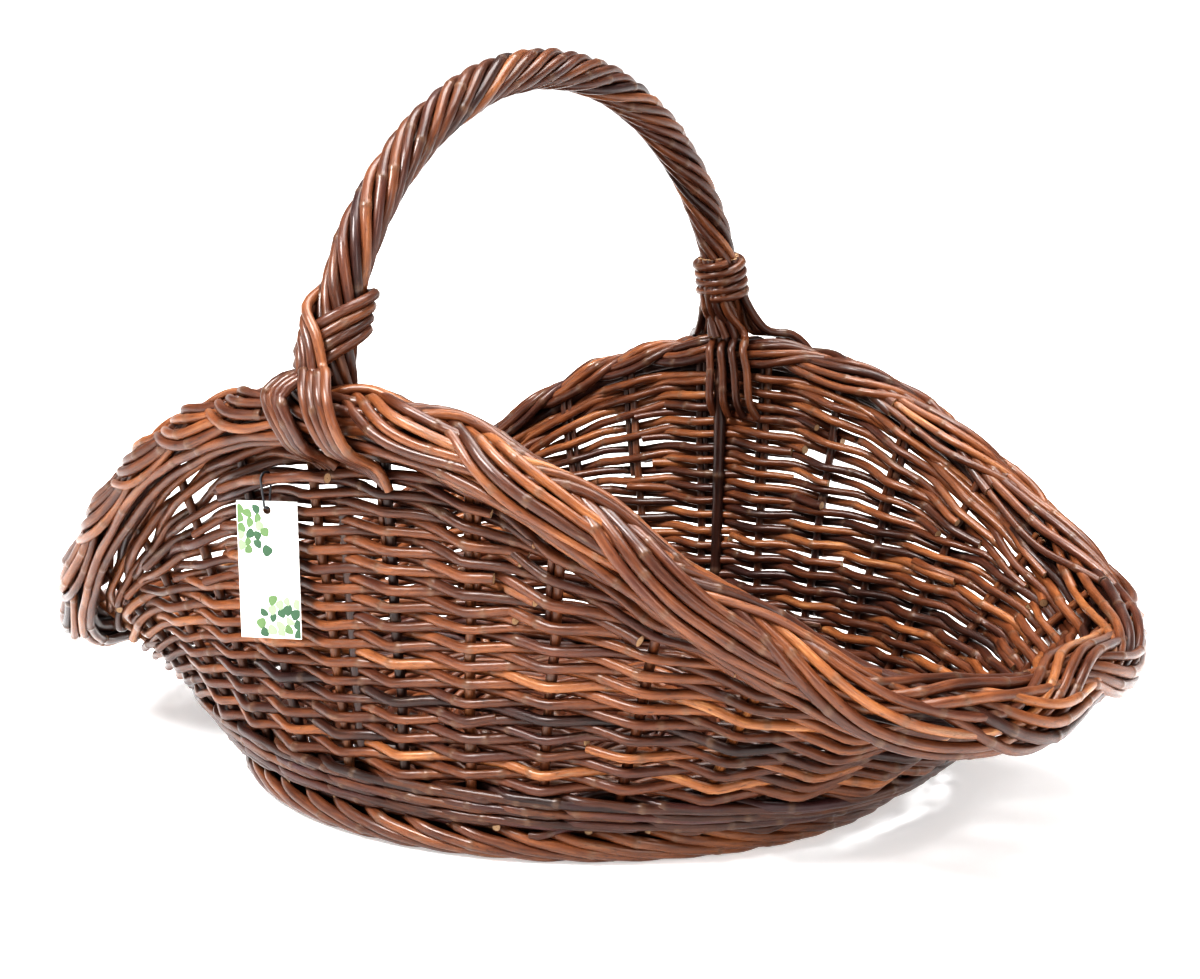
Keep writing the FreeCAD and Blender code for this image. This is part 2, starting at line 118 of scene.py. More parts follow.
def rim_place(angle):
    """The middle of the rim border: high at the two sides and low at the ends."""
    along, across = np.cos(angle), np.sin(angle)
    power = 2 / RIM_SQUARENESS
    x = RIM_HALF_LENGTH * np.sign(along) * np.abs(along) ** power
    y = RIM_HALF_WIDTH * np.sign(across) * np.abs(across) ** power
    right, near = (1 + along) / 2, (1 - across) / 2
    end = RIGHT_END_HEIGHT * right + LEFT_END_HEIGHT * (1 - right)
    side = NEAR_SIDE_HEIGHT * near + FAR_SIDE_HEIGHT * (1 - near)
    z = end + (side - end) * (1 - np.abs(along) ** RIM_ARCH) ** RIM_ARCH
    return np.stack([x, y, z], -1)


class PlanCurve:
    """A closed curve round the basket, read by the fraction of its plan length."""

    def __init__(self, place):
        self.points = place(np.linspace(0, TAU, 2881))
        steps = np.linalg.norm(np.diff(self.points[:, :2], axis=0), axis=1)
        self.length = steps.sum()
        self.share = np.concatenate([[0], np.cumsum(steps)]) / self.length

    def at(self, fraction):
        """The points at these fractions of the way round."""
        wanted = np.mod(fraction, 1.0)
        return np.stack([np.interp(wanted, self.share, c) for c in self.points.T], -1)

    def direction(self, fraction):
        """The way that the curve runs there."""
        return unit(self.at(fraction + 0.004) - self.at(fraction - 0.004))


FOOT = PlanCurve(foot_place)
RIM = PlanCurve(rim_place)


def foot_outward(fraction):
    """The level direction away from the foot."""
    return np.cross(FOOT.direction(fraction), [0, 0, 1])


class Wall:
    """The wall's lines at these fractions of the way round."""

    def __init__(self, fraction):
        fraction = np.atleast_1d(np.asarray(fraction, float))
        self.foot, self.rim = FOOT.at(fraction), RIM.at(fraction)
        self.length = np.linalg.norm(self.rim - self.foot, axis=1)
        self.up = unit(self.rim - self.foot)
        self.foot_normal = unit(np.cross(FOOT.direction(fraction), self.up))
        self.rim_normal = unit(np.cross(RIM.direction(fraction), self.up))
        self.wale_foot = WALL_FLOOR_GAP / self.up[:, 2]
        self.wale_top = self.wale_foot + WALE_HEIGHT
        self.border_foot = self.length - BORDER_RADIUS - JOINT_GAP
        room = self.border_foot - self.wale_top
        excess = ROW_BLEND * np.log1p(np.exp((room - FULL_ROWS_HEIGHT) / ROW_BLEND))
        self.full_top = self.border_foot - excess

    def point(self, slant, depth):
        """Points this far up the wall and this deep behind its outer face."""
        share = (slant / self.length)[:, None]
        normal = unit(self.foot_normal * (1 - share) + self.rim_normal * share)
        slant, depth = np.broadcast_arrays(slant, depth)
        return self.foot + self.up * slant[:, None] - normal * depth[:, None]

    def round_border(self, angle, reach):
        """A point at an angle and a reach round the middle of the rim border."""
        out = (reach * np.cos(angle))[:, None]
        rise = (reach * np.sin(angle))[:, None]
        return self.rim + self.rim_normal * out + self.up * rise


# --- rods ----------------------------------------------------------------------------------


def smooth_path(points, step=2.0):
    """A Catmull-Rom curve through the points."""
    p = np.asarray(points, float)
    p = np.vstack([2 * p[0] - p[1], p, 2 * p[-1] - p[-2]])
    pieces = []
    for a, b, c, d in zip(p, p[1:], p[2:], p[3:]):
        t = np.linspace(0, 1, max(3, int(np.linalg.norm(c - b) / step)), endpoint=False)[:, None]
        cubic = (3 * b - a - 3 * c + d) * t**3 + (2 * a - 5 * b + 4 * c - d) * t**2 + (c - a) * t
        pieces.append(b + cubic / 2)
    pieces.append(p[-2][None])
    return np.vstack(pieces)


def wander(positions, size, wavelength=90.0):
    """A slow random sway along a rod."""
    total = 0
    for part in (1.0, 0.45):
        phase = dice.uniform(0, TAU)
        total = total + part * np.sin(TAU * positions / (wavelength * part) + phase)
    return size * total / 1.45


class Bundle:
    """Rods gathered into one mesh, with what the willow material reads at each vertex."""

    def __init__(self):
        self.points, self.coords, self.tones, self.knots = [], [], [], []
        self.quads, self.caps = [], []
        self.count = 0

    def rod(self, path, radius, tone, tip=None, sides=10, step=5.0, sway=0.35, knotty=1.0):
        """A rod along a dense path, from its butt's radius to its tip's, with leaf scars."""
        path = np.asarray(path, float)
        lengths = np.concatenate([[0], np.cumsum(np.linalg.norm(np.diff(path, axis=0), axis=1))])
        total = lengths[-1]
        scars = []
        position = dice.uniform(10, 70)
        while position < total - 6:
            scars.append(position)
            position += dice.uniform(38, 95) / knotty
        stations = list(np.linspace(0, total, max(4, int(total / step))))
        for scar in scars:
            stations += [scar - 2.6, scar - 0.9, scar + 0.9, scar + 2.6]
        stations = np.unique(np.clip(stations, 0, total))
        centre = np.stack([np.interp(stations, lengths, c) for c in path.T], -1)
        tangent = unit(np.gradient(centre, axis=0) + 1e-12)
        frames = np.zeros_like(centre)
        hint = np.array([0.1, 0.2, 1.0]) if abs(tangent[0, 2]) < 0.9 else np.array([1.0, 0.2, 0])
        side = np.cross(tangent[0], hint)
        side /= np.linalg.norm(side)
        for index, ahead in enumerate(tangent):
            side = side - ahead * side.dot(ahead)
            side = side / math.sqrt(side.dot(side))
            frames[index] = side
        other = np.cross(tangent, frames)
        if sway:
            centre = centre + frames * wander(stations, sway)[:, None]
            centre = centre + other * wander(stations, sway, 70)[:, None]
        tip = radius * 0.86 if tip is None else tip
        width = radius + (tip - radius) * stations / max(total, 1e-6)
        width = width * (1 + wander(stations, 0.03, 31))
        knot = np.zeros(len(stations))
        for scar in scars:
            knot = np.maximum(knot, np.exp(-(((stations - scar) / 1.9) ** 2)))
        width = width * (1 + 0.13 * knot)
        around = np.arange(sides) / sides * TAU + dice.uniform(0, 1)
        spoke = frames[:, None] * np.cos(around)[None, :, None]
        spoke = spoke + other[:, None] * np.sin(around)[None, :, None]
        rings = centre[:, None] + spoke * width[:, None, None]
        n = len(stations)
        start = self.count
        shift = dice.uniform(0, 40)
        along = np.repeat(stations + shift * 40, sides)
        cosine = np.tile(np.cos(around), n) * radius
        sine = np.tile(np.sin(around), n) * radius
        ring_index = start + np.arange(n)[:, None] * sides
        here = ring_index[:-1] + np.arange(sides)[None]
        nexts = ring_index[:-1] + (np.arange(sides)[None] + 1) % sides
        quads = np.stack([here, nexts, nexts + sides, here + sides], -1).reshape(-1, 4)
        self.points.append(rings.reshape(-1, 3))
        self.coords.append(np.stack([along, cosine + shift * 9, sine], -1))
        self.tones.append(np.full(n * sides, tone))
        self.knots.append(np.repeat(knot, sides))
        self.quads.append(quads)
        self.count += n * sides
        for end, flip in ((0, True), (n - 1, False)):
            self.cap(rings[end], centre[end], tone, flip)

    def cap(self, ring, middle, tone, flip):
        """A cut end: its own ring of vertices, so that its edge stays sharp."""
        sides = len(ring)
        start = self.count
        inner = middle + (ring - middle) * 0.9
        self.points.append(np.vstack([ring, inner, middle[None]]))
        spots = np.concatenate([np.ones(sides), np.full(sides, 0.9), [0.0]])
        zeros = np.zeros(len(spots))
        self.coords.append(np.stack([zeros + start, spots, zeros], -1))
        self.tones.append(np.full(len(spots), tone))
        self.knots.append(zeros)
        for i in range(sides):
            j = (i + 1) % sides
            outer = [start + i, start + j, start + sides + j, start + sides + i]
            fan = [start + sides + i, start + sides + j, start + 2 * sides]
            self.caps.append(outer if not flip else outer[::-1])
            self.caps.append(fan if not flip else fan[::-1])
        self.count += 2 * sides + 1

    def build(self, name, body, slot, materials, *nodes):
        """The bundle's piece, which stands for these CAD nodes."""
        quads = np.concatenate(self.quads).tolist()
        points = np.concatenate(self.points) * MM
        mesh = bpy.data.meshes.new(name)
        mesh.from_pydata(points.tolist(), [], quads + self.caps)
        mesh.attributes.new("rod", "FLOAT_VECTOR", "POINT").data.foreach_set(
            "vector", np.concatenate(self.coords).astype(np.float32).ravel()
        )
        for title, values in (("tone", self.tones), ("scar", self.knots)):
            mesh.attributes.new(title, "FLOAT", "POINT").data.foreach_set(
                "value", np.concatenate(values).astype(np.float32)
            )
        for material in materials:
            mesh.materials.append(material)
        index = np.zeros(len(quads) + len(self.caps), np.int32)
        index[len(quads):] = 1
        mesh.polygons.foreach_set("material_index", index)
        smooth = np.ones(len(index), bool)
        smooth[len(quads):] = False
        mesh.polygons.foreach_set("use_smooth", smooth)
        mesh.update()
        piece = in_scene(name, mesh)
        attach(piece, body)
        if nodes:
            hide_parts(*nodes)
        return piece


# --- materials -----------------------------------------------------------------------------


class Nodes:
    """A short way to write a material's nodes."""

    def __init__(self, name):
        self.material = bpy.data.materials.new(name)
        self.material.use_nodes = True
        self.tree = self.material.node_tree
        self.shader = self.tree.nodes["Principled BSDF"]

    def add(self, kind, **inputs):
        node = self.tree.nodes.new("ShaderNode" + kind)
        for key, value in inputs.items():
            if hasattr(node, key):
                setattr(node, key, value)
            else:
                self.put(node.inputs[key.replace("_", " ")], value)
        return node

    def put(self, socket, value):
        if isinstance(value, bpy.types.NodeSocket):
            self.tree.links.new(value, socket)
        else:
            socket.default_value = value

    def math(self, operation, a, b=0.0):
        node = self.tree.nodes.new("ShaderNodeMath")
        node.operation = operation
        self.put(node.inputs[0], a)
        self.put(node.inputs[1], b)
        return node.outputs[0]

    def plus(self, a, b, share):
        """a + b * share"""
        return self.math("ADD", a, self.math("MULTIPLY", b, share))

    def scaled(self, vector, scale):
        node = self.tree.nodes.new("ShaderNodeVectorMath")
        node.operation = "MULTIPLY"
        self.put(node.inputs[0], vector)
        node.inputs[1].default_value = scale
        return node.outputs[0]

    def noise(self, vector, scale, detail=3.0, roughness=0.55):
        node = self.add("TexNoise", Vector=vector, Scale=scale, Detail=detail)
        node.inputs["Roughness"].default_value = roughness
        return node.outputs["Fac"]

    def ramp(self, value, stops):
        node = self.tree.nodes.new("ShaderNodeValToRGB")
        self.put(node.inputs[0], value)
        elements = node.color_ramp.elements
        while len(elements) < len(stops):
            elements.new(0.5)
        for element, (place, colour) in zip(elements, stops):
            element.position = place
            element.color = (*colour, 1) if len(colour) == 3 else colour
        return node.outputs[0]

    def mask(self, value, low, high):
        """Black below one value and white above the other."""
        return self.ramp(value, [(low, (0, 0, 0)), (high, (1, 1, 1))])

    def mix(self, share, a, b, kind="MIX"):
        node = self.tree.nodes.new("ShaderNodeMix")
        node.data_type = "RGBA"
        node.blend_type = kind
        self.put(node.inputs[0], share)
        self.put(node.inputs[6], a)
        self.put(node.inputs[7], b)
        return node.outputs[2]

    def attribute(self, name):
        node = self.tree.nodes.new("ShaderNodeAttribute")
        node.attribute_name = name
        return node


def willow(name, bark=0.5, gloss=0.3, dim=1.0, plum=0.3):
    """Varnished buff willow: each rod has its own tone, streaks, scars and patches of bark."""
    n = Nodes(name)
    coords = n.attribute("rod").outputs["Vector"]
    tone = n.attribute("tone").outputs["Fac"]
    scar = n.attribute("scar").outputs["Fac"]
    streaks = n.noise(n.scaled(coords, (0.05, 0.9, 0.9)), 1.0, 4.0, 0.6)
    mottle = n.noise(n.scaled(coords, (0.035, 0.12, 0.12)), 1.0, 3.0, 0.6)
    patches = n.noise(n.scaled(coords, (0.016, 0.1, 0.1)), 1.0, 5.0, 0.62)
    grain = n.noise(n.scaled(coords, (0.5, 2.2, 2.2)), 1.0, 2.0, 0.5)
    level = n.plus(tone, n.math("SUBTRACT", streaks, 0.5), 0.55)
    level = n.plus(level, n.math("SUBTRACT", mottle, 0.5), 0.75)
    stops = [
        (0.0, (0.018, 0.007, 0.005)),
        (0.22, (0.042, 0.014, 0.008)),
        (0.45, (0.090, 0.029, 0.012)),
        (0.68, (0.176, 0.062, 0.023)),
        (0.88, (0.280, 0.112, 0.041)),
        (1.0, (0.410, 0.205, 0.088)),
    ]
    stops = [(place, tuple(c * dim for c in colour)) for place, colour in stops]
    colour = n.ramp(level, stops)
    bark_share = n.mask(patches, 0.63, 0.70)
    bark_share = n.math("MULTIPLY", bark_share, bark)
    bark_colour = n.ramp(grain, [(0.3, (0.105, 0.072, 0.050)), (0.7, (0.30, 0.235, 0.165))])
    colour = n.mix(bark_share, colour, bark_colour)
    purple = n.mask(n.noise(n.scaled(coords, (0.01, 0.05, 0.05)), 1.0), 0.5, 0.7)
    colour = n.mix(n.math("MULTIPLY", purple, plum), colour, (0.060, 0.022, 0.025, 1))
    scar_colour = n.mix(streaks, (0.030, 0.014, 0.010, 1), (0.230, 0.140, 0.085, 1))
    colour = n.mix(n.math("MULTIPLY", scar, 0.55), colour, scar_colour)
    specks = n.noise(n.scaled(coords, (0.22, 0.9, 0.9)), 1.0, 3.0, 0.65)
    specks = n.mask(specks, 0.60, 0.69)
    colour = n.mix(n.math("MULTIPLY", specks, 0.65), colour, (0.022, 0.010, 0.007, 1))
    n.put(n.shader.inputs["Base Color"], colour)
    rough = n.plus(0.24, mottle, 0.30)
    rough = n.plus(rough, bark_share, 0.25)
    n.put(n.shader.inputs["Roughness"], rough)
    n.shader.inputs["Coat Weight"].default_value = gloss
    n.shader.inputs["Coat Roughness"].default_value = 0.18
    n.shader.inputs["IOR"].default_value = 1.42
    n.shader.inputs["Specular IOR Level"].default_value = 0.34
    height = n.plus(n.math("MULTIPLY", streaks, 0.6), grain, 0.3)
    height = n.plus(height, scar, 0.5)
    height = n.plus(height, bark_share, 0.6)
    bump = n.add("Bump", Height=height, Strength=0.75)
    bump.inputs["Distance"].default_value = 0.0008
    n.put(n.shader.inputs["Normal"], bump.outputs[0])
    return n.material


def cut_end():
    """The pale wood of a cut rod, with its pith."""
    n = Nodes("cut_end")
    coords = n.attribute("rod").outputs["Vector"]
    place = n.tree.nodes.new("ShaderNodeTexCoord").outputs["Object"]
    spot = n.tree.nodes.new("ShaderNodeSeparateXYZ")
    n.put(spot.inputs[0], coords)
    fibres = n.noise(place, 1600.0, 2.0)
    stops = [(0.0, (0.20, 0.10, 0.05)), (0.2, (0.50, 0.34, 0.20)), (0.85, (0.44, 0.29, 0.17))]
    colour = n.ramp(spot.outputs["Y"], stops + [(0.97, (0.10, 0.045, 0.03))])
    colour = n.mix(n.math("MULTIPLY", fibres, 0.5), colour, (0.30, 0.18, 0.10, 1), "MULTIPLY")
    n.put(n.shader.inputs["Base Color"], colour)
    n.shader.inputs["Roughness"].default_value = 0.7
    return n.material


CUT = cut_end()
WEAVE = [willow("willow_weave", bark=0.45), CUT]
DARK_WEAVE = [willow("willow_wale", bark=0.3, dim=0.75, plum=0.8), CUT]
BORDER = [willow("willow_border", bark=0.4, gloss=0.38), CUT]
STAKE = [willow("willow_stake", bark=0.3, gloss=0.35, dim=0.95), CUT]
HANDLE = [willow("willow_handle", bark=0.25, gloss=0.42, dim=0.95), CUT]


def some_tone(middle=0.5, spread=0.16):
    """A rod's own lightness, from 0 to 1."""
    return float(np.clip(dice.normal(middle, spread), 0.05, 0.95))


# --- the wall's weave ----------------------------------------------------------------------


def stake_place(fraction):
    """How many stakes from the first one: a whole number at each stake."""
    return fraction * STAKE_COUNT - 0.5


def weave_swing(place, parity):
    """From 1 in front of a stake to -1 behind it, with a rod's rather sharp bends."""
    turn = math.pi * (place + parity)
    return (np.cos(turn) + 0.115 * np.cos(3 * turn) + 0.035 * np.cos(5 * turn)) / 1.15


def weave_row(bundle, start, end, parity, slant_of, tone, radius=WEAVE_RADIUS, outside_ends=0.2):
    """One row of plain weave between two fractions, laid in rods that overlap behind a stake."""
    first, last = stake_place(start), stake_place(end)
    cuts = [first]
    while last - cuts[-1] > 20:
        wanted = cuts[-1] + dice.uniform(9, 17)
        behind = 2 * round((wanted - 1 + parity) / 2) + 1 - parity
        if dice.random() < outside_ends:
            behind += 1
        cuts.append(behind)
    cuts.append(last)
    for low, high in zip(cuts, cuts[1:]):
        low_reach = 0.0 if low == first else 0.38
        high_reach = 0.0 if high == last else 0.33
        place = np.arange(low - low_reach, high + high_reach + 0.04, 1 / 14)
        fraction = (place + 0.5) / STAKE_COUNT
        wall = Wall(fraction)
        swing = weave_swing(place, parity)
        starting = np.exp(-(((place - place[0]) / 0.45) ** 2))
        ending = np.exp(-(((place - place[-1]) / 0.45) ** 2))
        depth = STAKE_DEPTH - WEAVE_SWING * swing * (1 + 0.3 * (starting + ending))
        run = place * 50
        dip = -0.75 * (np.cos(TAU * place) + 0.12 * np.cos(3 * TAU * place))
        slant = slant_of(wall, fraction) + dip + 1.9 * (ending - starting)
        slant = slant + wander(run, 0.45, 160) + wander(run, 0.25, 47)
        own = tone + dice.normal(0, 0.10)
        thick = radius * dice.uniform(0.96, 1.14)
        thin = radius * dice.uniform(0.78, 0.95)
        if dice.random() < 0.5:
            thick, thin = thin, thick
        path = wall.point(slant, depth)
        bundle.rod(path, thick, float(np.clip(own, 0.05, 0.98)), tip=thin)


def thinned(rows, first=0):
    """The rows left when every other pair stops, so that the rest still alternate."""
    return [row for place, row in enumerate(rows) if place < first or (place - first) % 4 not in (1, 2)]


def row_share(row, height, levels):
    """Where a row lies between the bottom and the top of its band, where the band is this high."""
    share = np.full(len(height), (levels[0].index(row) + 0.5) / len(levels[0]))
    for before, after in zip(levels, levels[1:]):
        if row not in after:
            break
        limit = LEAST_PITCH * len(before)
        later = (after.index(row) + 0.5) / len(after)
        blend = np.clip((limit + RESPACING - height) / (2 * RESPACING), 0, 1)
        share = share + (later - share) * blend * blend * (3 - 2 * blend)
    return share


def least_height(row, levels):
    """The band height at which a row stops."""
    for before, after in zip(levels, levels[1:]):
        if row not in after:
            return LEAST_PITCH * len(before) + dice.uniform(-2, 4)
    return 6.0


def full_rows():
    """The rows that run all the way round; some of them stop where the band is low."""
    bundle = Bundle()
    rows = list(range(FULL_ROWS))
    levels = [rows, thinned(rows, 8)]
    fraction = np.linspace(0.5, 1.5, 800)
    wall = Wall(fraction)
    height = wall.full_top - wall.wale_top
    for row in rows:

        def slant_of(wall, fraction, row=row):
            height = wall.full_top - wall.wale_top
            return wall.wale_top + row_share(row, height, levels) * height

        alive = fraction[height > least_height(row, levels)]
        if len(alive) < len(fraction):
            start, end = alive[0], alive[-1]
        else:
            start = dice.integers(0, STAKE_COUNT) / STAKE_COUNT
            end = start + 1
        weave_row(bundle, start, end, row % 2, slant_of, some_tone(0.50, 0.13))
    return bundle


def fill_rows(middle):
    """The rows that build up one high side; they run out one by one towards both ends."""
    bundle = Bundle()
    fraction = middle + np.linspace(-0.249, 0.249, 500)
    wall = Wall(fraction)
    height = wall.border_foot - wall.full_top
    rows = list(range(FILL_ROWS))
    levels = [rows, thinned(rows)]
    levels.append(thinned(levels[1]))
    levels.append([levels[2][0]] + levels[2][-2:])
    for row in rows:
        alive = fraction[height > least_height(row, levels)]

        def slant_of(wall, fraction, row=row):
            height = wall.border_foot - wall.full_top
            return wall.full_top + row_share(row, height, levels) * height

        start, end = alive[0] - dice.uniform(0, 0.02), alive[-1] + dice.uniform(0, 0.02)
        weave_row(bundle, start, end, (row + FULL_ROWS) % 2, slant_of, some_tone(0.5, 0.14))
    return bundle


def top_rows():
    """The last rows, which run up into the rim border; the left end has fewer of them."""
    bundle = Bundle()
    for row, (rise, start, end) in enumerate(
        ((1.5, 0.60, 1.44), (6.5, 0.585, 1.455), (11.5, 0.62, 1.42))
    ):

        def slant_of(wall, fraction, rise=rise):
            return wall.border_foot + rise

        weave_row(bundle, start, end, row % 2, slant_of, some_tone(0.45, 0.12))
    return bundle


def wale():
    """Rows of three rods at the foot of the wall, each in front of two stakes and behind one."""
    bundle = Bundle()
    pitch = WALE_HEIGHT / WALE_ROWS
    for row in range(WALE_ROWS):
        for strand in range(3):
            place = np.arange(0, STAKE_COUNT + 1.01, 1 / 14) + 11 * row
            fraction = (place + 0.5) / STAKE_COUNT
            wall = Wall(fraction)
            phase = np.mod(place - strand + 3 * 0.06 * np.sin(place), 3) / 3
            front = np.clip(np.minimum(phase, 1 - phase) / 0.24, 0, 1)
            front = front * front * (3 - 2 * front)
            depth = STAKE_DEPTH + 6.2 - 12.6 * front
            lift = 4.6 * (0.5 - phase) * front
            slant = wall.wale_foot + (row + 0.45) * pitch + lift + wander(place * 40, 0.3, 80)
            path = wall.point(slant, depth)
            bundle.rod(path, WALE_RADIUS, some_tone(0.33, 0.1), tip=WALE_RADIUS * 0.92)
    return bundle


def lowest_slant(wall, depth=STAKE_DEPTH):
    """Where the wall's middle comes down to the level of the base."""
    return (BASE_EDGE_LEVEL + depth * wall.foot_normal[:, 2]) / wall.up[:, 2]


def stake_path(number, shift=0.0, low=None, depth=STAKE_DEPTH):
    """A stake up the wall; a whole one starts flat, from under the edge of the base."""
    fraction = (number + 0.5) / STAKE_COUNT + shift / RIM.length
    wall = Wall(fraction)
    start = lowest_slant(wall, depth)[0] if low is None else low
    slants = np.linspace(start, wall.length[0] + 2, 60)
    many = Wall(np.full(60, fraction))
    path = many.point(slants, np.full(60, depth))
    if low is not None:
        return path
    inward = np.cross([0, 0, 1], FOOT.direction(np.array([fraction]))[0])
    edge = [0, 0, BASE_EDGE_LEVEL]
    tucked = [wall.foot[0] + inward * inset + edge for inset in (30.0, 20.0, 10.0)]
    reach = [np.dot(path[0] - spot, inward) for spot in tucked]
    tucked = [spot for spot, gap in zip(tucked, reach) if gap < -3.0]
    return np.vstack(tucked + [path])


def lead_rows():
    """Rods between the foot and the waling: at the two ends the wall starts far outside the foot."""
    bundle = Bundle()
    for middle in (0.0, 0.5):
        fraction = np.linspace(middle - 0.2, middle + 0.2, 500)
        wall = Wall(fraction)
        gap = wall.wale_foot - lowest_slant(wall)
        for row in range(8):
            alive = fraction[gap > LEAD_PITCH * row + 3.0]
            if len(alive) < LEAST_SAMPLES:
                continue

            def slant_of(wall, fraction, row=row):
                return wall.wale_foot - LEAD_PITCH * (row + 0.5)

            tone = some_tone(0.36, 0.1)
            weave_row(bundle, alive[0], alive[-1], row % 2, slant_of, tone, outside_ends=0.0)
        lowest = wall.point(lowest_slant(wall), np.full(len(fraction), STAKE_DEPTH))
        away = np.sum((lowest - wall.foot) * foot_outward(fraction), axis=1)
        for outset in np.arange(-1.5, 40, LEAD_PITCH):
            alive = fraction[away > outset + 1.0]
            if len(alive) < LEAST_SAMPLES:
                break
            outward = foot_outward(alive)
            ends = np.minimum(np.arange(len(alive)), np.arange(len(alive))[::-1]) / len(alive)
            tucked = outset - 11.0 * np.clip(1 - ends / 0.09, 0, 1)
            path = FOOT.at(alive) + outward * tucked[:, None]
            path[:, 2] = 19.8 + 2.0 * np.cos(math.pi * stake_place(alive))
            bundle.rod(path, 2.9, some_tone(0.34, 0.1), tip=2.6, sway=0.3)
    ring = np.linspace(0, 1, 260)
    outward = foot_outward(ring)
    path = FOOT.at(ring) - outward * 6.5
    path[:, 2] = BASE_EDGE_LEVEL
    bundle.rod(path, 3.0, 0.28, tip=3.0, sway=0.2)
    return bundle


def stakes():
    """A piece for each stake, many of them with a thinner rod beside the stake."""
    for number in range(STAKE_COUNT):
        bundle = Bundle()
        bundle.rod(stake_path(number), STAKE_RADIUS, some_tone(0.5, 0.15), sway=0.5)
        if dice.random() < 0.6:
            low = dice.uniform(0.6, 0.75) * Wall((number + 0.5) / STAKE_COUNT).length[0]
            path = stake_path(number, 5.0 if number % 2 else -5.0, low)
            bundle.rod(path, 2.1, some_tone(0.5, 0.2), tip=2.0, sway=0.3)
        name = f"side_stake_{number + 1:02d}"
        bundle.build("rods_" + name, "basket", "stake_willow", STAKE, name)


# --- foot and base -------------------------------------------------------------------------


def foot_rods():
    """A rolled border: each rod comes out over the top and runs down to the right underneath."""
    bundle = Bundle()
    count = 46
    bends = [0, 0.06, 0.13, 0.22, 0.5, 0.8, 1]
    for index in range(count):
        start = index / count + dice.uniform(-0.002, 0.002)
        share = np.linspace(0, 1, 60)
        fraction = start + share * 0.088
        out = smoothed(np.interp(share, bends, [-15, -8.5, -3.6, -1.6, -1.9, -5.5, -13]), 3)
        height = smoothed(np.interp(share, bends, [13.5, 18.0, 16.8, 13.8, 7.6, 3.6, 3.4]), 3)
        outward = foot_outward(fraction)
        path = FOOT.at(fraction) + outward * (out + 0.8 + dice.uniform(-0.4, 0.4))[:, None]
        path[:, 2] = height
        radius = dice.uniform(3.1, 3.6)
        bundle.rod(path, radius, some_tone(0.5, 0.12), tip=2.9, sway=0.1, step=4.0)
    ring = np.linspace(0, 1.0, 260)
    outward = foot_outward(ring)
    for inset, height in ((9.0, 8.0), (13.5, 4.0), (12.5, 12.0), (12.5, 17.5), (15.0, 22.0)):
        core = FOOT.at(ring) - outward * inset
        core[:, 2] = height
        bundle.rod(core, 3.2, 0.25, tip=3.2, sway=0.2)
    return bundle


def stake_ends_at_foot():
    """The cut ends of the base sticks and stakes, which show between the foot and the wall."""
    bundle = Bundle()
    for index in range(48):
        fraction = (index + dice.uniform(-0.25, 0.25)) / 48
        spot = FOOT.at(fraction)
        outward = foot_outward(fraction)
        height = dice.uniform(18.5, 21.0)
        end = spot - outward * dice.uniform(1.0, 6.5) + np.array([0, 0, height])
        start = spot - outward * 34 + np.array([0, 0, 18.5])
        path = np.linspace(start, end, 12)
        bundle.rod(path, dice.uniform(2.7, 3.7), some_tone(0.4, 0.1), sway=0.0)
    return bundle


BASE_STICK_COUNT, BASE_LEVEL, BUNDLE_HALF = 4, 19.0, 34.0
LONG_SPACING, CROSS_SPACING, FAN_STEP = 9.3, 13.3, 20.0
BASE_ROD_RADIUS, BASE_ROD_TIP = 2.7, 2.4


def base_arm(index, along_x, side):
    """One end of a base stick, from the middle of the base to its tip."""
    spacing = LONG_SPACING if along_x else CROSS_SPACING
    offset = (index - (BASE_STICK_COUNT - 1) / 2) * spacing
    fan = math.radians((index - (BASE_STICK_COUNT - 1) / 2) * FAN_STEP)
    half_length = FOOT_HALF_LENGTH if along_x else FOOT_HALF_WIDTH
    run = (half_length - 27) * math.cos(fan) - BUNDLE_HALF
    points = []
    for share in (0.0, 0.55, 1.0):
        points.append((side * BUNDLE_HALF * share, offset))
    for share in (0.3, 0.65, 1.0):
        across = offset + run * share * math.tan(fan)
        points.append((side * (BUNDLE_HALF + run * share), across))
    placed = [(x, y) if along_x else (y, x) for x, y in points]
    return smooth_path([(FOOT_SHIFT_X + x, y, BASE_LEVEL) for x, y in placed])


def base_sticks():
    """The cross of sticks, the long ones through splits in the others."""
    arms = []
    for along_x in (True, False):
        for index in range(BASE_STICK_COUNT):
            left, right = (base_arm(index, along_x, side) for side in (-1, 1))
            path = np.vstack([left[::-1], right[1:]])
            arms += [left, right]
            kind = "long" if along_x else "cross"
            name = f"base_stick_{kind}_{index + 1}"
            bundle = Bundle()
            if along_x:
                bundle.rod(path, 4.3, some_tone(0.42, 0.1), tip=3.9, sway=0.2)
            else:
                bundle.rod(path, 6.0, some_tone(0.42, 0.1), tip=5.6, sway=0.2)
            bundle.build("rods_" + name, "basket", "stake_willow", STAKE, name)
    return arms


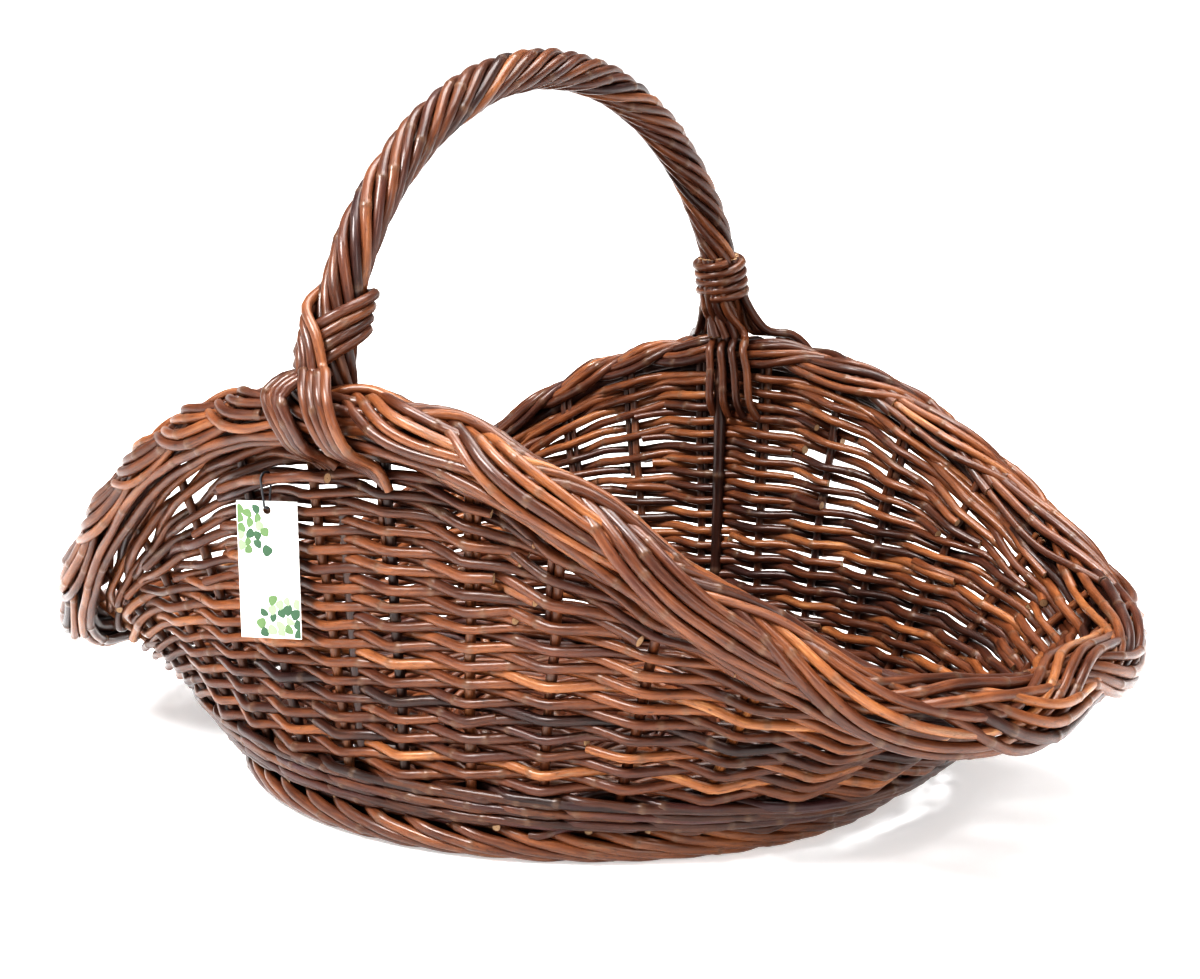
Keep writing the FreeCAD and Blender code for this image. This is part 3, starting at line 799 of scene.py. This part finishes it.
def base_weave(arms):
    """Rings of rods over and under the sticks, out to the foot."""
    bundle = Bundle()
    centre = np.array([FOOT_SHIFT_X, 0.0])
    halves = np.array([FOOT_HALF_LENGTH, FOOT_HALF_WIDTH])
    sizes, turns = [], []
    for arm in arms:
        flat = (arm[:, :2] - centre) / halves
        sizes.append(np.linalg.norm(flat, axis=1))
        turns.append(np.arctan2(flat[:, 1], flat[:, 0]))
    for ring in range(5):
        turn = np.linspace(0, TAU, 160) + 0.6 * ring
        swing = np.clip(1.35 * np.cos(2 * turn + math.pi * ring), -1, 1)
        x = centre[0] + (38 + 5.0 * ring) * np.cos(turn)
        y = centre[1] + (34 + 4.7 * ring) * np.sin(turn)
        path = np.stack([x, y, BASE_LEVEL + 8.2 * swing], -1)
        bundle.rod(path, BASE_ROD_RADIUS, some_tone(0.42, 0.13), tip=BASE_ROD_TIP, sway=0.3, sides=8)
    ring_count = 25
    for ring in range(ring_count):
        size = 0.285 + (0.905 - 0.285) * ring / (ring_count - 1)
        crossings = []
        for own_size, own_turn in zip(sizes, turns):
            crossings.append(float(np.interp(size, own_size, np.unwrap(own_turn))) % TAU)
        crossings = sorted(crossings)
        turn = np.linspace(crossings[0], crossings[0] + TAU, 230)
        knots = np.array(crossings + [crossings[0] + TAU])
        place = np.interp(turn, knots, np.arange(len(knots)))
        swing = np.cos(math.pi * (place + ring))
        size_here = size + 0.003 * np.sin(turn * 3 + ring)
        x = centre[0] + halves[0] * size_here * np.cos(turn)
        y = centre[1] + halves[1] * size_here * np.sin(turn)
        path = np.stack([x, y, BASE_LEVEL + 5.6 * swing], -1)
        bundle.rod(path, BASE_ROD_RADIUS, some_tone(0.42, 0.13), tip=BASE_ROD_TIP, sway=0.3, sides=8)
    return bundle


# --- rim border ----------------------------------------------------------------------------


def border_spread(fraction):
    """How much looser and wider the plait is at the right end, in millimetres outwards."""
    near_corner = np.exp(-(((np.mod(fraction + 0.5, 1) - 0.5 + 0.055) / 0.032) ** 2))
    far_corner = np.exp(-(((np.mod(fraction + 0.5, 1) - 0.5 - 0.085) / 0.035) ** 2))
    return 6.0 * near_corner + 7.5 * far_corner


def plait_point(fraction, lateral, lift):
    """A point of the plait: lateral runs over the border from its inside to its outside."""
    wall = Wall(fraction)
    spread = border_spread(fraction)
    loose = 1 + spread / 26
    angle = math.radians(84) - lateral / PLAIT_REACH * 1.05
    reach = PLAIT_REACH * loose + lift
    out = reach * np.cos(angle) * 1.05 + spread * 0.8
    rise = reach * np.sin(angle) * 0.98 - spread * 0.15
    path = wall.rim + wall.rim_normal * out[:, None] + wall.up * rise[:, None]
    return np.stack([smoothed(c, 4) for c in path.T], -1)


def plait_run(turn):
    """Where the plait's phase falls round the rim: the strokes are longer at the two ends."""
    share = turn / TAU / PLAIT_PERIODS
    run = share + 0.22 * np.sin(TAU * share) / TAU + 0.30 * np.sin(2 * TAU * share) / (2 * TAU)
    stretch = 1 + 0.22 * np.cos(TAU * share) + 0.30 * np.cos(2 * TAU * share)
    return run, stretch


def plait():
    """Three strands of parallel rods, plaited along the rim, on a core of straight rods."""
    bundle = Bundle()
    stride = RIM.length / PLAIT_PERIODS / TAU
    for strand in range(3):
        shift = TAU * strand / 3
        for rod in range(PLAIT_RODS):
            offset = (rod - (PLAIT_RODS - 1) / 2) * 5.9
            position = dice.integers(0, 3) - 0.125 - strand / 3
            finish = position + PLAIT_PERIODS
            while position < finish - 0.01:
                length = min(dice.integers(1, 4), finish - position)
                turn = TAU * np.arange(position - 0.06, position + length + 0.06, 1 / 52)
                own = turn + shift
                push = wander(turn * stride, 1.1, 120)
                lateral = PLAIT_WIDTH * (np.sin(own) + 0.12 * np.sin(3 * own))
                run, stretch = plait_run(turn)
                slope = PLAIT_WIDTH * (np.cos(own) + 0.36 * np.cos(3 * own)) / (stride * stretch)
                steep = np.sqrt(1 + slope**2)
                offset_here = offset * (1 + border_spread(run) / 28)
                sideways = (offset_here + push) / steep
                lengthwise = -(offset_here + push) * slope / steep
                lift = PLAIT_LIFT * np.sin(2 * own) + wander(turn * stride, 0.5, 150)
                fraction = run + lengthwise / RIM.length
                path = plait_point(fraction, lateral + sideways, lift)
                radius = PLAIT_ROD_RADIUS * dice.uniform(0.88, 1.12)
                bundle.rod(path, radius, some_tone(0.5, 0.15), sway=0.3, knotty=1.3)
                position += length
    for angle, reach, radius in ((80, 5.5, 4.0), (200, 6.0, 4.0), (320, 6.0, 4.0)):
        fraction = np.linspace(0, 1, 420) + angle
        turn = np.radians(angle) + 0.5 * np.sin(TAU * 3 * fraction)
        path = Wall(fraction).round_border(turn, np.full(420, reach))
        bundle.rod(path, radius, 0.2, tip=radius, sway=0.4)
    for angle, reach in ((-34, 15.6), (-58, 15.0), (222, 14.5)):
        for start in np.arange(0, 1, 0.25) + dice.uniform(0, 0.2):
            fraction = np.linspace(start, start + 0.27, 150)
            turn = np.radians(angle) + wander(fraction * RIM.length, 0.10, 330)
            wall = Wall(fraction)
            spread = border_spread(fraction)
            path = wall.round_border(turn, np.full(150, reach))
            path = path + wall.rim_normal * (spread * 0.8)[:, None]
            bundle.rod(path, 3.0, some_tone(0.5, 0.15), tip=2.5, sway=0.5)
    return bundle


# --- handle --------------------------------------------------------------------------------


def handle_line(low_angle):
    """The bow's centre line over the arch, from the near side to the far side, and its outside."""
    overhang = HANDLE_HALF_SPAN - SHOULDER_RADIUS
    headroom = HANDLE_RISE - SHOULDER_RADIUS
    drop = (overhang**2 - headroom**2) / (2 * headroom)
    crown = HANDLE_RISE + drop
    meeting = math.atan2(drop, overhang)
    shoulder = np.linspace(low_angle, meeting, 120)
    over = np.linspace(meeting, math.pi - meeting, 160)[1:-1]
    far = np.stack([overhang + SHOULDER_RADIUS * np.cos(shoulder), SHOULDER_RADIUS * np.sin(shoulder)])
    top = np.stack([crown * np.cos(over), crown * np.sin(over) - drop])
    line = np.concatenate([far * [[-1], [1]], top[:, ::-1], far[:, ::-1]], axis=1).T
    outside = np.concatenate(
        [
            np.stack([-np.cos(shoulder), np.sin(shoulder)], -1),
            np.stack([np.cos(over[::-1]), np.sin(over[::-1])], -1),
            np.stack([np.cos(shoulder[::-1]), np.sin(shoulder[::-1])], -1),
        ]
    )
    points = np.zeros((len(line), 3))
    points[:, 0] = HANDLE_X
    points[:, 1] = HANDLE_SHIFT_Y + line[:, 0]
    points[:, 2] = SPRING_HEIGHT + line[:, 1]
    outward = np.zeros_like(points)
    outward[:, 1:] = outside
    return points, outward


def handle_bow():
    """The bow over the arch, and its two legs down inside the weave."""
    points = handle_line(-HANDLE_LEAN)[0]
    bundle = Bundle()
    bundle.rod(points, BOW_RADIUS, 0.4, tip=BOW_RADIUS, sway=0.0)
    fall = points[0, 2] - BOW_FOOT_HEIGHT
    for top, inward in ((points[0], 1), (points[-1], -1)):
        leg = [(-8, 0), (0, 0.5), (25, 5), (60, 6.5), (130, 10.5), (fall, 15)]
        path = smooth_path([top + [0, inward * shift, -down] for down, shift in leg])
        bundle.rod(path, 4.4, 0.15, tip=3.4, sway=0.0)
    return bundle


def handle_rope():
    """The rods twisted round the bow."""
    bundle = Bundle()
    sine = (BINDING_HEIGHT - 42 - SPRING_HEIGHT) / SHOULDER_RADIUS
    points, outward = handle_line(math.asin(sine))
    run = np.concatenate([[0], np.cumsum(np.linalg.norm(np.diff(points, axis=0), axis=1))])
    stations = np.linspace(0, run[-1], 320)
    centre = np.stack([np.interp(stations, run, c) for c in points.T], -1)
    spoke = unit(np.stack([np.interp(stations, run, c) for c in outward.T], -1))
    sideways = np.array([1.0, 0.0, 0.0])
    for rod in range(ROPE_RODS):
        turn = TAU * (rod / ROPE_RODS - stations / ROPE_TURN) + wander(stations, 0.09, 260)
        reach = ROPE_REACH + wander(stations, 0.5, 110)
        ring = spoke * np.cos(turn)[:, None] + sideways * np.sin(turn)[:, None]
        radius = ROPE_ROD_RADIUS * dice.uniform(0.92, 1.12)
        path = centre + ring * reach[:, None]
        bundle.rod(path, radius, some_tone(0.44, 0.14), tip=radius * 0.93, sway=0.2, step=4.0)
    return bundle


def handle_axis(side, height):
    """The middle and the direction of the handle at a height on one side."""
    sine = (height - SPRING_HEIGHT) / SHOULDER_RADIUS
    cosine = math.sqrt(1 - sine**2)
    across = side * (HANDLE_HALF_SPAN - SHOULDER_RADIUS + SHOULDER_RADIUS * cosine)
    return (
        np.array([HANDLE_X, HANDLE_SHIFT_Y + across, height]),
        np.array([0, -side * sine, cosine]),
    )


def around_handle(side, height, degrees, reach):
    """A point round the handle's foot: 0 degrees outwards, 90 to the right seen from outside."""
    centre, upward = handle_axis(side, height)
    outward = np.cross(upward, [side * 1.0, 0, 0]) * -1
    outward = outward / np.linalg.norm(outward)
    if outward[1] * side < 0:
        outward = -outward
    right = np.array([-side * 1.0, 0, 0])
    turn = math.radians(degrees)
    return centre + reach * (outward * math.cos(turn) + right * math.sin(turn))


def rim_spot(side, offset, degrees, reach):
    """A point on the border, an offset to the right of the rim's middle seen from outside."""
    middle = NEAR if side < 0 else FAR
    wall = Wall(middle + offset / RIM.length)
    return wall.round_border(np.radians([degrees]), np.array([reach]))[0]


def wall_spot(side, offset, below, depth):
    """A point on the wall below the border, found in the same way as rim_spot."""
    middle = NEAR if side < 0 else FAR
    wall = Wall(middle + offset / RIM.length)
    return wall.point(wall.border_foot - below, np.array([depth]))[0]


def far_binding():
    """One rod in turns round the handle's far foot."""
    bundle = Bundle()
    turns, reach, pitch = 4.15, 15.2, 6.1
    path = []
    for degrees in np.linspace(0, 360 * turns, int(60 * turns)):
        level = (degrees / 360 - turns / 2) * pitch
        path.append(around_handle(1, BINDING_HEIGHT + level, degrees + 180, reach))
    bundle.rod(np.array(path), LEG_RADIUS, 0.47, tip=2.8, sway=0.15, step=3.5)
    return bundle


def crossed_binding():
    """Four slanting strokes over the near foot; they go on round the border as its left leg."""
    binding_part, leg = Bundle(), Bundle()
    middle = HANDLE_X
    for rod in range(4):
        level = 268.5 + 6.4 * rod
        round_foot = []
        for degrees in (250, 210, 168, 126, 80, 36, -8):
            reach = 16.6 if degrees < 150 else 15.0
            rise = 17 * (min(degrees, 120) - 36) / 90 + 3 * max(degrees - 120, 0) / 90
            round_foot.append(around_handle(-1, level + rise, degrees, reach))
        down = [
            around_handle(-1, level - 19.0, -46, 19.0),
            rim_spot(-1, middle + 11 - 5.2 * rod, 84, 25.0),
            rim_spot(-1, middle + 2 - 4.6 * rod, 56, 26.5),
            rim_spot(-1, middle - 5 - 3.8 * rod, 34, 26.8),
            rim_spot(-1, middle - 1 - 3.7 * rod, 14, 26.4),
            rim_spot(-1, middle + 4 - 3.7 * rod, -8, 25.4),
            rim_spot(-1, middle + 4 - 3.6 * rod, -34, 23.0),
            wall_spot(-1, middle - 2 - 3.6 * rod, 3.0, 0.5),
            wall_spot(-1, middle + 2 - 3.4 * rod, 9.0, 5.5),
        ]
        tone = some_tone(0.45, 0.12)
        whole = smooth_path(round_foot + down)
        meeting = np.linalg.norm(whole - around_handle(-1, level - 8.3, -8, 16.6), axis=1).argmin()
        binding_part.rod(whole[: meeting + 1], LEG_RADIUS, tone, tip=LEG_RADIUS, sway=0.0)
        leg.rod(whole[meeting:], LEG_RADIUS, tone, tip=2.7, sway=0.0)
    return binding_part, leg


def right_leg():
    """Four rods from the left of the near foot, over the strokes and down to the right."""
    bundle = Bundle()
    middle = HANDLE_X
    for rod in range(4):
        points = [
            around_handle(-1, 303 - 6 * rod, -82, 12.5),
            around_handle(-1, 290 - 6 * rod, -22, 18.8),
            around_handle(-1, 277 - 5 * rod, 16 - 8 * rod, 22.0),
            around_handle(-1, 263 - 4.0 * rod, 30 - 11 * rod, 25.5),
            rim_spot(-1, middle + 18.5 - 5.0 * rod, 62, 29.5),
            rim_spot(-1, middle + 27 - 5.2 * rod, 34, 29.0),
            rim_spot(-1, middle + 34 - 5.2 * rod, 4, 27.6),
            rim_spot(-1, middle + 38 - 4.8 * rod, -28, 25.0),
            wall_spot(-1, middle + 41 - 3.8 * rod, 3.0, -5.0),
            wall_spot(-1, middle + 45 - 2.0 * rod, 15.0 - 1.5 * rod, -1.0),
        ]
        bundle.rod(smooth_path(points), LEG_RADIUS, some_tone(0.48, 0.12), tip=2.6, sway=0.1)
    return bundle


def far_leg(hand):
    """Two rods down over the border's inside, and three that spring over its outside."""
    bundle = Bundle()
    middle = -HANDLE_X
    for rod in range(2):
        across = hand * (3.0 + 6.2 * rod)
        points = [
            around_handle(1, 302, 180 - hand * (10 + 24 * rod), 11.5),
            around_handle(1, 268, 180 - hand * (10 + 24 * rod), 14.0),
            rim_spot(1, middle + across * 1.2 - 4, 122, 23.5),
            rim_spot(1, middle + across * 1.4 - 7, 158, 24.0),
            rim_spot(1, middle + across * 1.6 - 9, 192, 22.5),
            wall_spot(1, middle + across * 1.8 - 11, 6.0, 22.5),
            wall_spot(1, middle + across * 2.0 - 13, 16.0, 17.0),
        ]
        bundle.rod(smooth_path(points), LEG_RADIUS, some_tone(0.42, 0.12), tip=2.7, sway=0.2)
    for rod in range(3):
        across = hand * 6.5 * rod
        points = [
            around_handle(1, 298, hand * (50 + 20 * rod), 11.5),
            around_handle(1, 278, hand * (52 + 18 * rod), 13.5),
            rim_spot(1, middle + hand * 12 + across, 98, 24.5),
            rim_spot(1, middle + hand * 26 + across, 60, 24.0),
            rim_spot(1, middle + hand * 36 + across, 20, 23.5),
            rim_spot(1, middle + hand * 38 + across, -22, 23.0),
            wall_spot(1, middle + hand * 34 + across, 4.0, -3.0),
            wall_spot(1, middle + hand * 28 + across, 13.0, 1.0),
        ]
        bundle.rod(smooth_path(points), LEG_RADIUS, some_tone(0.42, 0.12), tip=2.7, sway=0.2)
    return bundle


# --- build ---------------------------------------------------------------------------------

stakes()
wale().build("rods_lower_wale", "basket", "weave_willow", DARK_WEAVE, "lower_wale")
lead_rows().build("rods_lead_rows", "basket", "weave_willow", DARK_WEAVE)
full_rows().build("rods_side_weave", "basket", "weave_willow", WEAVE, "side_weave")
top_rows().build("rods_top_rows", "basket", "weave_willow", WEAVE)
fill_rows(NEAR).build("rods_fill_near", "basket", "weave_willow", WEAVE, "fill_near")
fill_rows(FAR).build("rods_fill_far", "basket", "weave_willow", WEAVE, "fill_far")
foot_rods().build("rods_foot_border", "basket", "border_willow", BORDER, "foot_border")
stake_ends_at_foot().build("rods_foot_ends", "basket", "stake_willow", STAKE)
base_weave(base_sticks()).build("rods_base_weave", "basket", "weave_willow", WEAVE, "base_weave")
plait().build("rods_rim_border", "basket", "border_willow", BORDER, "rim_border")
handle_bow().build("rod_handle_bow", "basket", "handle_willow", HANDLE, "handle_bow")
handle_rope().build("rods_handle_rope", "basket", "handle_willow", HANDLE, "handle_rope")
far_binding().build("rods_binding_far", "basket", "handle_willow", HANDLE, "handle_binding_far")
near_binding, near_left = crossed_binding()
for bundle, node in (
    (near_binding, "handle_binding_near"),
    (near_left, "handle_leg_near_left"),
    (right_leg(), "handle_leg_near_right"),
    (far_leg(-1), "handle_leg_far_left"),
    (far_leg(1), "handle_leg_far_right"),
):
    bundle.build("rods_" + node, "basket", "handle_willow", HANDLE, node)


# --- swing tag -----------------------------------------------------------------------------

TAG_ROD_X = -47.0
TAG_TURN = math.radians(22.0)


def tag_rod():
    """The stretch of rod that the tie hangs on; it stands a little off the wall."""
    points = []
    for offset, stand_off in ((-44, 3.4), (-24, 3.4), (-13, 7.0), (13, 7.0), (24, 3.4), (44, 3.4)):
        wall = Wall(NEAR + (TAG_ROD_X + offset) / RIM.length)
        points.append(wall.point(wall.border_foot - 13.0, np.array([-stand_off]))[0])
    bundle = Bundle()
    bundle.rod(smooth_path(points), 2.95, 0.5, tip=2.9, sway=0.0)
    bundle.build("rod_tag_rod", "basket", "weave_willow", WEAVE, "tag_rod")


tag_rod()


def plain_material(name, colour, roughness, grain=0.0):
    """Card, ink or thread with a fine, faint grain."""
    n = Nodes(name)
    place = n.tree.nodes.new("ShaderNodeTexCoord").outputs["Object"]
    fine = n.noise(place, 900.0, 3.0)
    wide = n.noise(place, 60.0, 2.0)
    dark = tuple(c * (1 - grain) for c in colour)
    n.put(n.shader.inputs["Base Color"], n.mix(wide, (*colour, 1), (*dark, 1)))
    n.put(n.shader.inputs["Roughness"], n.plus(roughness, fine, 0.15))
    bump = n.add("Bump", Height=fine, Strength=0.1)
    bump.inputs["Distance"].default_value = 0.0001
    n.put(n.shader.inputs["Normal"], bump.outputs[0])
    return n.material


def leaf_mesh(points, faces, centre, angle, length, width, bend=0.12):
    """A leaf blade of a few rows, folded slightly along its middle."""
    start = len(points)
    rows = 7
    for row in range(rows):
        share = row / (rows - 1)
        half = width / 2 * math.sin(math.pi * min(1, share * 0.94 + 0.03)) ** 0.7
        curve = bend * length * math.sin(math.pi * share)
        for across in (-half, 0.0, half):
            u = share * length
            v = across + curve
            x = centre[0] + u * math.cos(angle) - v * math.sin(angle)
            y = centre[1] + u * math.sin(angle) + v * math.cos(angle)
            points.append((x, y, 0.10 if across == 0 else 0.04))
    for row in range(rows - 1):
        for column in range(2):
            a = start + row * 3 + column
            faces.append((a, a + 1, a + 4, a + 3))


def leaf_spots(columns, rows, pitch):
    """Places for round leaves in a corner: a loose grid that thins out away from the corner."""
    spots = []
    for column in range(columns):
        for row in range(rows):
            if dice.uniform() < 0.14 * (column + row) - 0.36:
                continue
            stray = dice.uniform(-1.1, 1.1, 2)
            spots.append((column * pitch + stray[0], (row + 0.5 * (column % 2)) * pitch + stray[1]))
    return spots


def tag_decoration():
    """Leaves printed in two corners of the card's front, as thin raised shapes."""
    low, high = (np.array(corner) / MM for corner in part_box("swing_tag"))
    across = np.array([math.cos(TAG_TURN), math.sin(TAG_TURN), 0])
    out = np.array([math.sin(TAG_TURN), -math.cos(TAG_TURN), 0])
    middle = (low + high) / 2
    face = middle + out * 0.4
    half_height = (high[2] - low[2]) / 2
    greens = {
        "leaf_dark": (0.045, 0.110, 0.055),
        "leaf_mid": (0.130, 0.220, 0.085),
        "leaf_pale": (0.300, 0.380, 0.240),
    }
    leaves = []
    for u, v in leaf_spots(4, 5, 5.0):
        leaves.append((-16.0 + u, half_height - 4.5 - v, dice.uniform(-2.2, -0.4)))
    for u, v in leaf_spots(5, 4, 5.0):
        leaves.append((16.0 - u, -half_height + 3.5 + v, dice.uniform(0.9, 2.6)))
    kinds = dice.integers(0, 3, len(leaves))
    for index, (name, colour) in enumerate(greens.items()):
        points, faces = [], []
        for kind, (u, v, angle) in zip(kinds, leaves):
            if kind == index and math.hypot(u, v - half_height + 5) > 4.5:
                size = dice.uniform(5.0, 6.6)
                centre = (u - math.cos(angle) * size / 2, v - math.sin(angle) * size / 2)
                leaf_mesh(points, faces, centre, angle, size, size * dice.uniform(0.7, 0.95))
        placed = []
        for u, v, w in points:
            u = max(-17.1, min(17.1, u))
            v = max(-half_height + 0.4, min(half_height - 0.4, v))
            spot = face + across * u + np.array([0, 0, v]) + out * (w + 0.02 * index)
            placed.append(tuple(spot * MM))
        mesh = bpy.data.meshes.new("tag_" + name)
        mesh.from_pydata(placed, [], faces)
        mesh.materials.append(plain_material(name, colour, 0.5, 0.35))
        piece = in_scene("tag_" + name, mesh)
        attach(piece, "tag")


tag_decoration()
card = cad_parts["swing_tag"]
card.data.materials.clear()
card.data.materials.append(plain_material("tag_card_white", (0.86, 0.87, 0.84), 0.35, 0.03))
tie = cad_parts["tag_loop"]
tie.data.materials.clear()
tie.data.materials.append(plain_material("tie_dark", (0.03, 0.03, 0.035), 0.45, 0.3))


# --- studio --------------------------------------------------------------------------------


def add_floor():
    """A pale floor that glows more with distance, so that it fades into the white world."""
    mesh = bpy.data.meshes.new("floor")
    size = 14.0
    corners = [(-size, -size, 0), (size, -size, 0), (size, size, 0), (-size, size, 0)]
    mesh.from_pydata(corners, [], [(0, 1, 2, 3)])
    n = Nodes("floor_white")
    n.shader.inputs["Base Color"].default_value = (0.90, 0.90, 0.90, 1)
    n.shader.inputs["Roughness"].default_value = 0.8
    n.shader.inputs["Emission Color"].default_value = (1, 1, 1, 1)
    place = n.tree.nodes.new("ShaderNodeTexCoord").outputs["Object"]
    distance = n.tree.nodes.new("ShaderNodeVectorMath")
    distance.operation = "LENGTH"
    n.put(distance.inputs[0], place)
    far_share = n.math("MULTIPLY", distance.outputs["Value"], 0.30)
    far_share = n.math("MINIMUM", n.math("MAXIMUM", n.math("SUBTRACT", far_share, 0.12), 0.0), 0.75)
    n.put(n.shader.inputs["Emission Strength"], n.math("ADD", far_share, 0.36))
    mesh.materials.append(n.material)
    floor = in_scene("floor", mesh)


def add_light(name, place, target, size, power):
    """A soft rectangular light."""
    data = bpy.data.lights.new(name, "AREA")
    data.shape = "RECTANGLE"
    data.size, data.size_y = size
    data.energy = power
    light = in_scene(name, data)
    light.location = place
    light.rotation_euler = (Vector(target) - Vector(place)).to_track_quat("-Z", "Y").to_euler()


def add_world():
    """A world that is white up to a little over the horizon, and dim above that."""
    world = bpy.data.worlds.new("studio")
    world.use_nodes = True
    tree = world.node_tree
    place = tree.nodes.new("ShaderNodeTexCoord")
    axes = tree.nodes.new("ShaderNodeSeparateXYZ")
    ramp = tree.nodes.new("ShaderNodeValToRGB")
    tree.links.new(place.outputs["Generated"], axes.inputs[0])
    tree.links.new(axes.outputs["Z"], ramp.inputs[0])
    ramp.color_ramp.elements[0].position = 0.16
    ramp.color_ramp.elements[0].color = (1, 1, 1, 1)
    ramp.color_ramp.elements[1].position = 0.34
    ramp.color_ramp.elements[1].color = (0.16, 0.16, 0.16, 1)
    background = tree.nodes["Background"]
    tree.links.new(ramp.outputs[0], background.inputs[0])
    background.inputs[1].default_value = 1.0
    bpy.context.scene.world = world


def add_camera():
    """A camera a little over the rim, about 1.25 m from the basket, rolled by under a degree."""
    azimuth = math.radians(36.0)
    elevation = math.radians(9.3)
    roll = math.radians(-0.8)
    distance = 1.25275
    target = Vector((0, 0, 0.18))
    level = math.cos(elevation)
    back = Vector((math.sin(azimuth) * level, -math.cos(azimuth) * level, math.sin(elevation)))
    right = Vector((math.cos(azimuth), math.sin(azimuth), 0))
    up = back.cross(right)
    turned_right = right * math.cos(roll) + up * math.sin(roll)
    turned_up = up * math.cos(roll) - right * math.sin(roll)
    data = bpy.data.cameras.new("camera")
    data.sensor_width = 36.0
    data.lens = 61.4979
    data.shift_x = 0.029583
    data.shift_y = -0.016208
    camera = in_scene("camera", data)
    matrix = camera.matrix_world.copy()
    for column, vector in enumerate((turned_right, turned_up, back, target + back * distance)):
        for row in range(3):
            matrix[row][column] = vector[row]
    camera.matrix_world = matrix
    bpy.context.scene.camera = camera


add_floor()
add_world()
add_light("key", (-0.5, -1.7, 2.3), (0, 0, 0.15), (1.0, 1.0), 108)
add_light("top", (0.3, 0.4, 2.6), (0, 0, 0.1), (2.2, 1.6), 96)
add_light("right", (2.3, -1.2, 1.5), (0, 0, 0.15), (0.9, 1.2), 22)
add_camera()
bpy.context.scene.view_settings.view_transform = "Standard"
bpy.context.scene.view_settings.look = "High Contrast"
